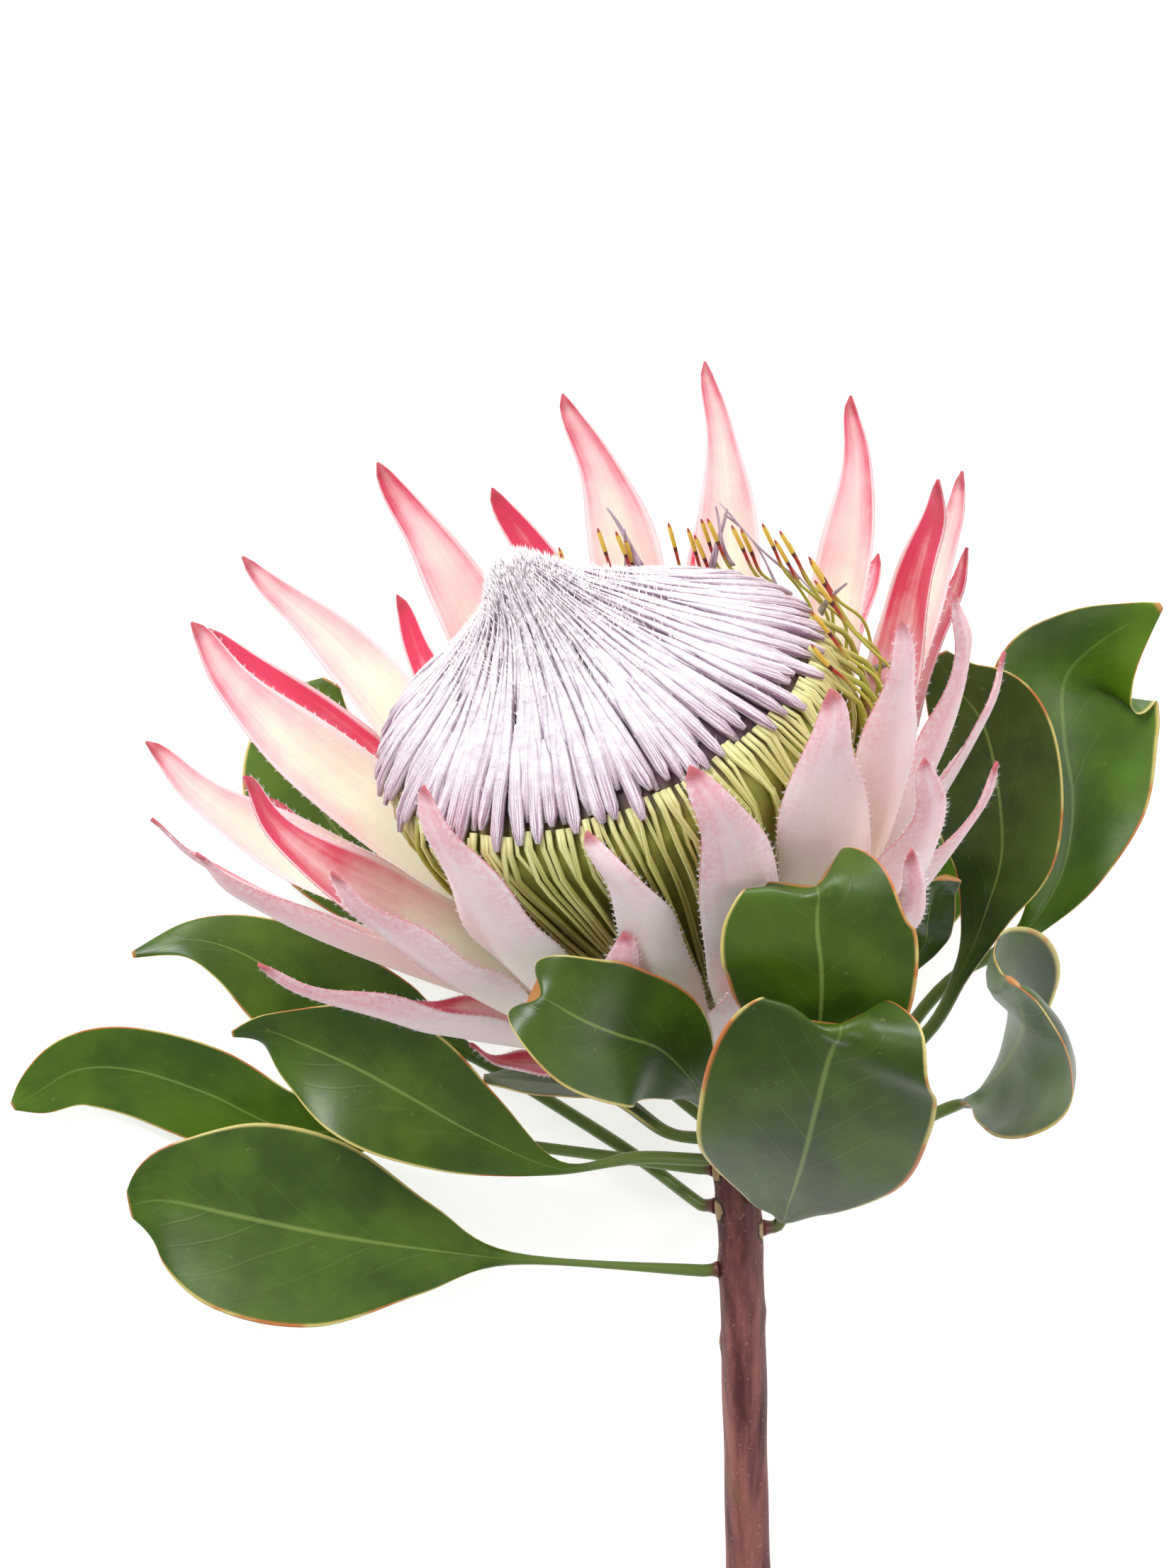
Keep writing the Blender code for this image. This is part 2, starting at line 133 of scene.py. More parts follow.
# Leaves. Each leaves the stem at a length along it (Y) and an angle round it, 0 to the right and
# 90 up. Its stations are x, y, z, half the width and roll, from the stalk to the tip.
Leaf = namedtuple("Leaf", "y angle cup wave stations")
PETIOLE_RADIUS = 1.35
BLADE_THICKNESS = 1.3
SEAT_GAP = 0.35
SEAT_LENGTH = 3.0
LEAVES = {
    "lower_left": Leaf(-102, 170, 0.10, 0.0, [
        (-16, -100, 20, 1.4, 0), (-34, -98, 21, 9.5, 4), (-54, -95, 21, 19.5, 4),
        (-74, -91, 20, 20, 4), (-89, -88, 18, 12, 2), (-97, -89, 16, 3, 0),
    ]),
    "far_left": Leaf(-81, 200, 0.15, 0.0, [
        (-35, -74, 13, 1.4, 0), (-47, -74, 11, 4, -8), (-65, -73, 9, 9, -16), (-81, -66, 7, 11, -16),
        (-97, -61, 6, 10, -16), (-109, -61, 5, 8, -12), (-118, -66, 5, 5, -8), (-123, -69, 5, 1, 0),
    ]),
    "left": Leaf(-78, 150, 0.15, 0.0, [
        (10, -78, 30, 1.4, 0), (-6, -80, 32, 1.5, 0), (-23, -73, 34, 9, 8), (-37, -65, 36, 14, 8),
        (-48, -59, 36, 14, 4), (-59, -54, 35, 9, -10), (-67, -51, 34, 4, -30), (-74, -52, 33, 0.8, -40),
    ]),
    "upper_left": Leaf(-89, 200, 0.10, 0.0, [
        (7, -77, 11, 1.4, 0), (-27, -56, 11, 2, 0), (-40, -50, 14, 8, 0), (-54, -47, 15, 14, 4),
        (-64, -41, 17, 12, 10), (-75, -35, 19, 8, 20), (-85, -33, 20, 4, 26), (-96, -36, 20, 0.8, 30),
    ]),
    "back_left": Leaf(-71, 225, 0.05, 0.0, [
        (-4, -49, 10, 1.4, 0), (-35, -31, 5, 6, 0), (-50, -15, 3, 14, 0), (-59, -1, 2.4, 15, 0),
        (-59, 13, 1.9, 11, 0), (-55, 22, 1.4, 2, 0),
    ]),
    "side_left": Leaf(-74, 182, 0.15, 0.0, [
        (16, -73, 21, 1.4, 60), (6, -66, 21, 3, 66), (-4, -64, 22, 7, 70), (-13, -63, 22, 7, 70),
        (-22, -62, 22, 2, 70),
    ]),
    "front_small": Leaf(-73, 100, 0.15, 0.0, [
        (27, -70, 52, 1.4, 0), (23, -63, 74, 2, 0), (20, -58, 84, 6, 0), (14, -52, 91, 12, 4),
        (6, -49, 96, 13.5, 6), (-1, -46, 99, 13, 6), (-8, -42, 100, 9, 6), (-12, -40, 98, 3, 6),
    ]),
    "front_upper": Leaf(-79, 70, 0.08, 0.0, [
        (39, -69, 66, 1.4, -10), (44, -56, 93, 3, -10), (45, -46, 103, 15, -8), (45, -36, 109, 18.5, -6),
        (44, -28, 112, 18.5, -4), (44, -21, 113, 14, -2), (43, -18, 108, 8, 0),
    ]),
    "front_lower": Leaf(-86, 55, 0.08, 0.0, [
        (39, -87, 66, 1.4, 0), (40, -83, 79, 9, 0), (42, -74, 93, 20, 0), (44, -63, 105, 22.5, 0),
        (46, -53, 114, 21.5, 0), (48, -47, 118, 16, 0), (48, -45, 113, 8, 0),
    ]),
    "right": Leaf(-77, 340, 0.15, 0.0, [
        (68, -55, 28, 1.4, -10), (78, -39, 32, 2, -16), (83, -26, 34, 6, -20), (86, -14, 36, 12, -20),
        (85, 1, 35, 14.5, -20), (82, 13, 34, 13.5, -20), (76, 21, 33, 7, -20), (73, 27, 32, 2, -20),
    ]),
    "far_right": Leaf(-94, 350, 0.35, 0.0, [
        (71, -47, 20, 1.4, 0), (87, -35, 20, 1.5, 0), (94, -29, 20, 3, 0), (100, -18, 21, 8, 6),
        (102, -4, 21, 15, 12), (100, 10, 22, 19, 16), (100, 22, 24, 18, 16), (107, 30, 30, 11, 16),
        (119, 37, 36, 0.8, 16),
    ]),
    "curled_right": Leaf(-86, 5, 0.10, 0.25, [
        (73, -69, 26, 1.4, 60), (80, -66, 32, 2, 80), (85, -61, 40, 12, 84), (88, -55, 50, 20, 86),
        (89, -50, 60, 22, 90), (88, -46, 70, 17, 94), (86, -42, 78, 8, 98), (84, -39, 82, 2, 100),
    ]),
    "curled_small": Leaf(-75, 40, 0.20, 0.0, [
        (61, -43, 48, 1.4, 20), (68, -33, 54, 4, 30), (69, -28, 53, 6.5, 40), (70, -22, 55, 6, 50),
        (73, -19, 58, 4, 60),
    ]),
    "back_right": Leaf(-72, 315, 0.05, 0.0, [
        (60, -44, 16, 1.4, 0), (66, -31, 15, 8, 0), (70, -19, 15, 13, 0), (72, -9, 16, 13, 0),
        (74, 1, 16, 8, 0), (75, 7, 16, 2, 0),
    ]),
}

# ---- directions and curves

# One cross-section of a piece: its centre, the directions across it and out of it, its half sizes,
# and how far its edges bend out of line, both to one side (bend) or one each way (wave).
Section = namedtuple("Section", "centre across out half thick bend wave")


def smooth(x):
    x = min(max(x, 0.0), 1.0)
    return x * x * (3.0 - 2.0 * x)


def bell(x, width):
    return math.exp(-(x / width) ** 2)


def head_directions():
    """The head's axis, the direction of azimuth 0 and the direction of azimuth 90."""
    rise, lean = math.radians(HEAD_RISE), math.radians(HEAD_LEAN)
    axis = Vector((-math.sin(lean) * math.cos(rise), math.cos(lean) * math.cos(rise), math.sin(rise)))
    right = Vector((math.cos(lean), math.sin(lean), 0.0))
    return axis, right, right.cross(axis)


AXIS, RIGHT, FACE = head_directions()


def outward(azimuth):
    angle = math.radians(azimuth)
    return RIGHT * math.cos(angle) + FACE * math.sin(angle)


def blend(points, place):
    """The value on a smooth curve through equally spaced points, at place 0 to len(points) - 1."""
    first = min(max(int(place), 0), len(points) - 2)
    t = place - first
    p0, p1, p2, p3 = (points[min(max(first + k, 0), len(points) - 1)] for k in (-1, 0, 1, 2))
    return 0.5 * (2 * p1 + (p2 - p0) * t + (2 * p0 - 5 * p1 + 4 * p2 - p3) * t * t
                  + (3 * p1 - p0 - 3 * p2 + p3) * t * t * t)


def round_section(centre, along, radius):
    across = (RIGHT - along * RIGHT.dot(along)).normalized()
    return Section(centre, across, along.cross(across), radius, radius, 0.0, 0.0)


def peak_centre(height):
    """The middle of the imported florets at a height: their peak stands off the axis."""
    top = FLORETS[-1][0]
    shift = PEAK_SHIFT * max(0.0, (height - PEAK_START) / (top - PEAK_START)) ** 2
    return HEAD_BASE + AXIS * height - RIGHT * shift


def model_move():
    """How far the finished solids were moved to stand on their origin, from the florets' box."""
    low = [math.inf] * 3
    for height, radius in FLORETS:
        section = round_section(peak_centre(height), AXIS, radius)
        for side in range(FLORET_SIDES):
            turn = 2 * math.pi * side / FLORET_SIDES
            rim = section.centre + (section.across * math.cos(turn) + section.out * math.sin(turn)) * radius
            low = [min(a, b) for a, b in zip(low, rim)]
    return Vector(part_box("florets")[0]) / MM - Vector(low)


MOVE = model_move()

# ---- materials

# How far apart in the noise two pieces of the same kind lie.
SEED_SPREAD = 37.0


def rgb(red, green, blue):
    """A colour given in display values from 0 to 255."""
    parts = [c / 255 for c in (red, green, blue)]
    return (*[c / 12.92 if c < 0.04045 else ((c + 0.055) / 1.055) ** 2.4 for c in parts], 1.0)


class Finish:
    """A Principled material and short ways to add the nodes that paint it."""

    def __init__(self, name, roughness, **sockets):
        self.material = bpy.data.materials.new(name)
        self.material.use_nodes = True
        self.nodes = self.material.node_tree.nodes
        self.shader = self.nodes["Principled BSDF"]
        self.shader.inputs["Roughness"].default_value = roughness
        for socket, value in sockets.items():
            self.shader.inputs[socket.replace("_", " ")].default_value = value

    def set(self, socket, value):
        if isinstance(value, (int, float, tuple)):
            socket.default_value = value
        else:
            self.material.node_tree.links.new(value, socket)

    def node(self, kind, *inputs, **settings):
        """A new node with its settings and its first inputs filled in."""
        node = self.nodes.new("ShaderNode" + kind)
        for name, value in settings.items():
            setattr(node, name, value)
        for socket, value in zip(node.inputs, inputs):
            self.set(socket, value)
        return node

    def attribute(self, name):
        return self.node("Attribute", attribute_name=name).outputs["Fac"]

    def math(self, operation, a, b=0.0):
        return self.node("Math", a, b, operation=operation).outputs[0]

    def plus(self, a, b):
        return self.math("ADD", a, b)

    def minus(self, a, b):
        return self.math("SUBTRACT", a, b)

    def times(self, a, b):
        return self.math("MULTIPLY", a, b)

    def step(self, value, low, high, bottom=0.0, top=1.0):
        """Smoothly from bottom at low to top at high."""
        return self.node("MapRange", value, low, high, bottom, top,
                         interpolation_type="SMOOTHSTEP").outputs[0]

    def mix(self, factor, a, b):
        node = self.node("Mix", factor, data_type="RGBA")
        self.set(node.inputs[6], a)
        self.set(node.inputs[7], b)
        return node.outputs[2]

    def fade(self, value, low, high, a, b, bottom=0.0, top=1.0):
        """From colour a where value is low to colour b where it is high."""
        return self.mix(self.step(value, low, high, bottom, top), a, b)

    def texture(self, vector, scale, detail, roughness):
        node = self.node("TexNoise", vector)
        for name, value in (("Scale", scale), ("Detail", detail), ("Roughness", roughness)):
            node.inputs[name].default_value = value
        return node.outputs[0]

    def noise(self, scale, detail=3.0, stretch=(1.0, 1.0, 1.0)):
        """Noise in the space round the piece."""
        mapping = self.node("Mapping", self.node("TexCoord").outputs["Object"])
        mapping.inputs["Scale"].default_value = stretch
        return self.texture(mapping.outputs[0], scale, detail, 0.55)

    def streaks(self, along_scale, across_scale, detail=3.0):
        """Noise drawn out along a piece, on its own along and across attributes."""
        place = self.node("CombineXYZ", self.times(self.attribute("along"), along_scale),
                          self.times(self.attribute("across"), across_scale),
                          self.times(self.attribute("seed"), SEED_SPREAD))
        return self.texture(place.outputs[0], 1.0, detail, 0.5)

    def glow(self, colour, strength):
        self.shader.inputs["Emission Color"].default_value = colour
        self.shader.inputs["Emission Strength"].default_value = strength

    def paint(self, colour, bump=None, strength=0.0, distance=0.0):
        """The finished material; strength and distance in metres say how much the bump shows."""
        self.set(self.shader.inputs["Base Color"], colour)
        if bump is not None:
            node = self.node("Bump", strength, distance)
            self.set(node.inputs["Height"], bump)
            self.set(self.shader.inputs["Normal"], node.outputs[0])
        return self.material


def bract_finish():
    """Cream foot, pale pink blade, crimson edges and tip; whiter and velvety on the outside."""
    f = Finish("bract_velvet", 0.6, Sheen_Weight=0.45, Sheen_Roughness=0.35, Subsurface_Weight=0.15,
               Subsurface_Scale=0.003)
    along, across, side = f.attribute("along"), f.attribute("across"), f.attribute("side")
    blush = f.attribute("blush")
    edge = f.math("ABSOLUTE", across)
    streak = f.streaks(3.0, 7.0)
    cloud = f.times(f.minus(f.noise(70.0, 4.0), 0.5), 0.55)
    shade = f.plus(cloud, f.times(f.minus(streak, 0.5), 0.22))
    height = f.plus(along, f.times(f.minus(blush, 0.5), 0.55))
    # Inside: the pink starts at the edges and meets in the middle near the tip.
    rim = f.plus(f.plus(f.times(edge, 0.30), height), shade)
    inside = f.fade(rim, 0.46, 1.02, rgb(249, 244, 224), rgb(244, 190, 196))
    inside = f.fade(rim, 0.86, 1.26, inside, rgb(216, 56, 92))
    # A pale rim along the inner face's edges: partly the white edge hairs, partly a painted sheen.
    edge_hair_and_sheen = f.times(f.step(edge, 0.80, 0.92, 0.0, 0.8), f.step(height, 0.30, 0.60))
    inside = f.mix(edge_hair_and_sheen, inside, rgb(247, 224, 228))
    # Outside: cream at the foot, then pale pink under a white frost, and deeper only near the tip.
    outside = f.fade(f.plus(height, shade), 0.22, 0.74, rgb(246, 240, 214), rgb(244, 218, 222))
    outside = f.fade(rim, 0.74, 1.26, outside, rgb(224, 118, 144), top=0.85)
    frost = f.step(f.noise(900.0, 4.0), 0.30, 0.70, 0.30, 0.75)
    frost = f.times(frost, f.step(edge, 0.3, 0.95, 0.5, 1.0))
    outside = f.mix(frost, outside, rgb(248, 238, 240))
    colour = f.fade(side, -0.12, 0.12, inside, outside)
    lip = f.times(f.step(edge, 0.955, 0.99), f.step(height, 0.45, 0.85, 0.0, 0.6))
    colour = f.mix(lip, colour, rgb(206, 80, 108))
    colour = f.fade(f.plus(along, f.times(cloud, 0.1)), 0.95, 0.99, colour, rgb(168, 44, 58), top=0.8)
    grain = f.plus(f.times(f.streaks(8.0, 22.0), 0.7), f.times(f.noise(2400.0, 2.0), 0.55))
    return f.paint(colour, grain, 0.35, 0.0004)


def hair_finish():
    """Short white hairs with a faint painted glow that lifts the shade they cast on one another."""
    f = Finish("white_hair", 0.7, Sheen_Weight=0.3)
    # Painted light: an emission glow brightens the hairs, though they give off no light of their own.
    f.glow(rgb(250, 244, 248), 0.16)
    return f.paint(f.fade(f.noise(160.0), 0.3, 0.7, rgb(252, 249, 248), rgb(242, 230, 232)))


def leaf_finish():
    """Dark green, paler along the midrib and veins, with a yellow and rusty margin."""
    f = Finish("leaf_green", 0.36, Specular_IOR_Level=0.42, Subsurface_Weight=0.05,
               Subsurface_Scale=0.001, Coat_Weight=0.12, Coat_Roughness=0.35)
    along, across, side = f.attribute("along"), f.attribute("across"), f.attribute("side")
    stalk, backlight_glow = f.attribute("stalk"), f.attribute("blush")
    edge = f.math("ABSOLUTE", across)
    mottle = f.noise(55.0, 4.0)
    top = f.fade(mottle, 0.3, 0.7, rgb(34, 54, 8), rgb(62, 86, 16))
    # Painted light: some leaves are painted a brighter green, standing in for light shining through them
    # from behind.
    bright = f.fade(mottle, 0.3, 0.7, rgb(70, 112, 8), rgb(100, 144, 16))
    top = f.mix(backlight_glow, top, bright)
    under = f.fade(mottle, 0.3, 0.7, rgb(84, 108, 72), rgb(112, 134, 98))
    colour = f.fade(side, -0.10, 0.10, under, top)
    # Side veins run forward from the midrib to the edge.
    row = f.minus(f.times(along, 8.0), f.times(edge, 2.6))
    row = f.plus(row, f.times(f.noise(28.0, 2.0), 0.8))
    vein = f.math("ABSOLUTE", f.minus(f.math("FRACT", row), 0.5))
    vein = f.step(vein, 0.0, 0.07, 1.0, 0.0)
    vein = f.times(vein, f.step(edge, 0.15, 0.9, 0.55, 0.1))
    colour = f.mix(f.times(vein, 0.14), colour, rgb(116, 146, 70))
    rib = f.times(f.step(edge, 0.006, 0.036, 1.0, 0.0), f.step(along, 0.55, 1.0, 0.9, 0.25))
    colour = f.mix(f.times(rib, 0.60), colour, rgb(140, 162, 82))
    spots = f.step(f.noise(520.0, 2.0), 0.70, 0.76)
    colour = f.mix(f.times(spots, 0.35), colour, rgb(128, 124, 62))
    rust = f.fade(f.noise(75.0), 0.48, 0.60, rgb(214, 198, 118), rgb(206, 120, 66))
    colour = f.fade(edge, 0.945, 0.985, colour, rust, top=0.95)
    colour = f.fade(along, 0.975, 0.995, colour, rgb(206, 136, 74), top=0.8)
    stem_side = f.fade(stalk, 0.62, 0.98, rgb(104, 126, 58), rgb(112, 52, 52))
    colour = f.fade(stalk, 0.02, 0.25, colour, stem_side)
    relief = f.plus(f.times(vein, 0.5), f.times(f.noise(700.0, 3.0), 0.35))
    return f.paint(colour, relief, 0.22, 0.0004)


def stem_finish():
    """Red-brown young bark with long streaks, olive patches, scars and a pale cut end."""
    f = Finish("stem_bark", 0.55, Specular_IOR_Level=0.4)
    along = f.attribute("along")
    streak = f.noise(210.0, 4.0, (1.0, 0.12, 1.0))
    colour = f.fade(streak, 0.35, 0.65, rgb(78, 36, 38), rgb(146, 90, 84))
    colour = f.fade(f.noise(38.0, 3.0), 0.56, 0.68, colour, rgb(112, 98, 58), top=0.55)
    colour = f.fade(f.noise(900.0, 2.0), 0.62, 0.72, colour, rgb(176, 128, 112), top=0.5)
    scar = f.attribute("blush")
    colour = f.fade(scar, 0.02, 0.30, colour, rgb(60, 32, 30))
    colour = f.fade(scar, 0.35, 0.75, colour, rgb(176, 146, 104))
    colour = f.fade(along, 0.72, 0.80, colour, rgb(196, 178, 130))
    colour = f.mix(f.attribute("seed"), colour, rgb(196, 178, 128))
    return f.paint(colour, streak, 0.5, 0.0006)


def floret_finish():
    """White and lilac wool with purple lines towards the free lower end; each head's darker mauve flanks are
    partly its own stripes and partly painted shade between the heads.
    """
    f = Finish("floret_wool", 0.85, Sheen_Weight=0.4, Sheen_Roughness=0.5)
    along, across = f.attribute("along"), f.attribute("across")
    edge = f.math("ABSOLUTE", across)
    line = f.streaks(2.0, 7.0, 2.0)
    crest = f.fade(f.noise(420.0, 3.0), 0.35, 0.65, rgb(232, 227, 233), rgb(211, 202, 212))
    # The flanks: partly the florets' own mauve stripes, partly painted shade where neighbouring heads meet.
    flank_stripes_and_shade = f.fade(line, 0.4, 0.6, rgb(152, 124, 144), rgb(108, 78, 100))
    colour = f.fade(edge, 0.50, 1.0, crest, flank_stripes_and_shade)
    low = f.fade(line, 0.46, 0.54, rgb(228, 214, 222), rgb(146, 106, 132))
    outermost = f.step(f.attribute("blush"), 0.1, 0.5, 1.0, 0.0)
    lower = f.times(f.step(along, 0.05, 0.75, 0.9, 0.0), outermost)
    colour = f.mix(lower, colour, low)
    return f.paint(colour, f.noise(1800.0, 3.0), 0.5, 0.0004)


def stalk_finish(name, light, dark):
    f = Finish(name, 0.5, Subsurface_Weight=0.1, Subsurface_Scale=0.001)
    colour = f.fade(f.streaks(2.0, 3.0), 0.35, 0.65, light, dark)
    colour = f.fade(f.attribute("along"), 0.80, 1.0, colour, rgb(232, 226, 180), top=0.5)
    return f.paint(colour, f.streaks(4.0, 12.0), 0.25, 0.0002)


def style_finish():
    """Yellow-green shaft, a red stretch, a dark ring and a yellow head with a red point."""
    f = Finish("style_yellow", 0.45)
    back = f.attribute("along")
    colour = f.fade(back, 8.6, 13.0, rgb(176, 52, 40), rgb(186, 182, 74))
    colour = f.fade(back, 6.2, 6.6, rgb(222, 186, 66), colour)
    ring = f.times(f.step(back, 5.8, 6.2), f.step(back, 6.9, 7.4, 1.0, 0.0))
    colour = f.mix(ring, colour, rgb(92, 30, 26))
    colour = f.fade(back, 0.5, 1.3, colour, rgb(150, 44, 34), bottom=1.0, top=0.0)
    return f.paint(colour, f.noise(900.0), 0.2, 0.0002)


def core_finish():
    """Painted shade between the florets: dark mauve above, yellow-green below, and near the peak
    white-lilac, partly the wool's colour and partly painted light.
    """
    f = Finish("floret_shade", 0.8)
    mottle = f.noise(300.0, 3.0)
    above = f.mix(mottle, rgb(58, 36, 50), rgb(112, 82, 102))
    below = f.mix(mottle, rgb(104, 106, 32), rgb(150, 148, 58))
    height = f.attribute("along")
    # Near the peak: white-lilac, partly the wool's own colour and partly painted light against the grey
    # shade inside the hair tuft.
    above = f.fade(height, 0.80, 0.92, above, rgb(226, 220, 226))
    return f.paint(f.fade(height, 0.40, 0.50, below, above), mottle, 0.6, 0.0006)


def ribbon_finish():
    f = Finish("ribbon_mauve", 0.7, Sheen_Weight=0.3)
    colour = f.fade(f.streaks(4.0, 3.0), 0.35, 0.65, rgb(196, 176, 190), rgb(142, 112, 132))
    return f.paint(colour, f.noise(1500.0), 0.4, 0.0003)


# ---- meshes


def cylinder(sides, steps):
    """A unit cylinder along Z whose walls are cut into steps."""
    bm = bmesh.new()
    bmesh.ops.create_cone(bm, cap_ends=True, segments=sides, radius1=1, radius2=1, depth=1)
    uprights = [e for e in bm.edges if abs(e.verts[0].co.z - e.verts[1].co.z) > 0.5]
    bmesh.ops.subdivide_edges(bm, edges=uprights, cuts=steps - 1)
    return bm


def mesh_of(bm, name):
    mesh = bpy.data.meshes.new(name)
    bm.to_mesh(mesh)
    bm.free()
    return mesh


def object_of(name, data):
    made = bpy.data.objects.new(name, data)
    bpy.context.scene.collection.objects.link(made)
    return made


def hair_mesh():
    """A three-sided spike along Z."""
    bm = bmesh.new()
    bmesh.ops.create_cone(bm, cap_ends=True, segments=3, radius1=1, radius2=0, depth=1)
    return mesh_of(bm, "hair")


HAIR = hair_mesh()
LAYERS = ("along", "across", "side", "blush", "seed", "stalk")


def layers_of(bm):
    return {name: bm.verts.layers.float.new(name) for name in LAYERS}


def copies(bm, mesh, count):
    """Adds count copies of a mesh and returns the list of each copy's vertices."""
    start, size = len(bm.verts), len(mesh.vertices)
    for _ in range(count):
        bm.from_mesh(mesh)
    added = list(bm.verts)[start:]
    return [added[k * size:(k + 1) * size] for k in range(count)]


def strands(count, sides, steps):
    """A bmesh of unit cylinders, its layers and the list of each cylinder's vertices."""
    bm = bmesh.new()
    layers = layers_of(bm)
    return bm, layers, copies(bm, mesh_of(cylinder(sides, steps), "strand"), count)


def shape(verts, layers, sections, detail=None, facts=None, **same):
    """Moves a unit cylinder's vertices onto the sections and writes where each one lies.

    detail says how far a vertex moves across, out and along, facts gives values of its own layers,
    and same holds the values that all vertices share.
    """
    steps = len(sections) - 1
    for vert in verts:
        t = vert.co.z + 0.5
        section = sections[round(t * steps)]
        u, v = Vector(vert.co[:2]).normalized()
        lift = section.thick * v + section.bend * u * u + section.wave * math.sin(math.pi * u)
        side_move, out_move, long_move = detail(t, u, v, section) if detail else (0.0, 0.0, 0.0)
        place = section.centre + section.across * (section.half * u + side_move)
        place = place + section.out * (lift + out_move)
        place = place + section.across.cross(section.out) * long_move
        vert.co = (place + MOVE) * MM
        values = {"along": t, "across": u, "side": v, **same}
        if facts:
            values.update(facts(t, u, v, section))
        for name, value in values.items():
            vert[layers[name]] = value


def add_hairs(bm, roots, material_index):
    """Thin three-sided spikes. Each root is (place, direction, length, radius)."""
    old = set(bm.faces)
    groups = copies(bm, HAIR, len(roots))
    for face in bm.faces:
        if face not in old:
            face.material_index = material_index
    for verts, (place, direction, length, radius) in zip(groups, roots):
        along = direction.normalized()
        across = along.orthogonal().normalized()
        out = along.cross(across)
        for vert in verts:
            x, y, z = vert.co
            point = place + (across * x + out * y) * radius + along * ((z + 0.5) * length)
            vert.co = (point + MOVE) * MM


def piece(bm, name, node, materials):
    """Finishes a bmesh as a visible piece that replaces a node of the solid model."""
    mesh = mesh_of(bm, name)
    mesh.shade_smooth()
    for material in materials:
        mesh.materials.append(material)
    made = object_of(name, mesh)
    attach(made, "root")
    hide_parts(node)


def floret_piece(bm, name, *materials):
    """One of the pieces that together replace the solid mass of florets."""
    piece(bm, f"florets_{name}", "florets", materials)


def jitter(amount):
    """A small random vector."""
    return Vector([random.uniform(-amount, amount) for _ in range(3)])


# ---- bracts

BRACT_FINE_SIDES = 28
BRACT_FINE_STEPS = 44
BRACT_HAIRS = 760
EDGE_HAIRS = 0.8
# The keel's height, how far the tip turns aside and curls back, and how much it is pinched.
KEEL = 0.55
CROOK = 4.5
CURL_BACK = 2.4
PINCH = 0.22
# A whole turn in radians, for the waves along an edge.
TURN = 6.28


def bract_width(bract, foot_width, s):
    """Full width at s, 0 at the foot and 1 at the tip."""
    if s < WIDEST:
        return foot_width + (bract.width - foot_width) * math.sin(math.pi / 2 * s / WIDEST)
    u = (s - WIDEST) / (1.0 - WIDEST)
    return bract.width * (0.03 + 0.97 * (1.0 - u) ** 0.74 * (1.0 + 0.78 * u))


def bract_sections(ring, bract):
    point = HEAD_BASE + AXIS * ring.height + outward(bract.azimuth) * ring.distance
    sections = []
    for step in range(BRACT_FINE_STEPS + 1):
        s = step / BRACT_FINE_STEPS
        spread = ring.spread + (bract.spread - ring.spread) * smooth(s / BEND_END)
        angle = math.radians(spread - bract.hook * s * s)
        away = outward(bract.azimuth + bract.swing * s)
        along = AXIS * math.cos(angle) + away * math.sin(angle)
        out = away * math.cos(angle) - AXIS * math.sin(angle)
        half = bract_width(bract, ring.width, s) / 2
        thick = (ring.thickness + (TIP_THICKNESS - ring.thickness) * s) / 2
        cup = -bract.cup * (2 * half / bract.width) ** 2
        turn = math.radians(bract.twist) * smooth(s / TWIST_END)
        across = out.cross(along) * math.cos(turn) + out * math.sin(turn)
        sections.append(Section(point, across, along.cross(across), half, thick, cup, 0.0))
        point = point + along * (bract.length / BRACT_FINE_STEPS)
    return sections


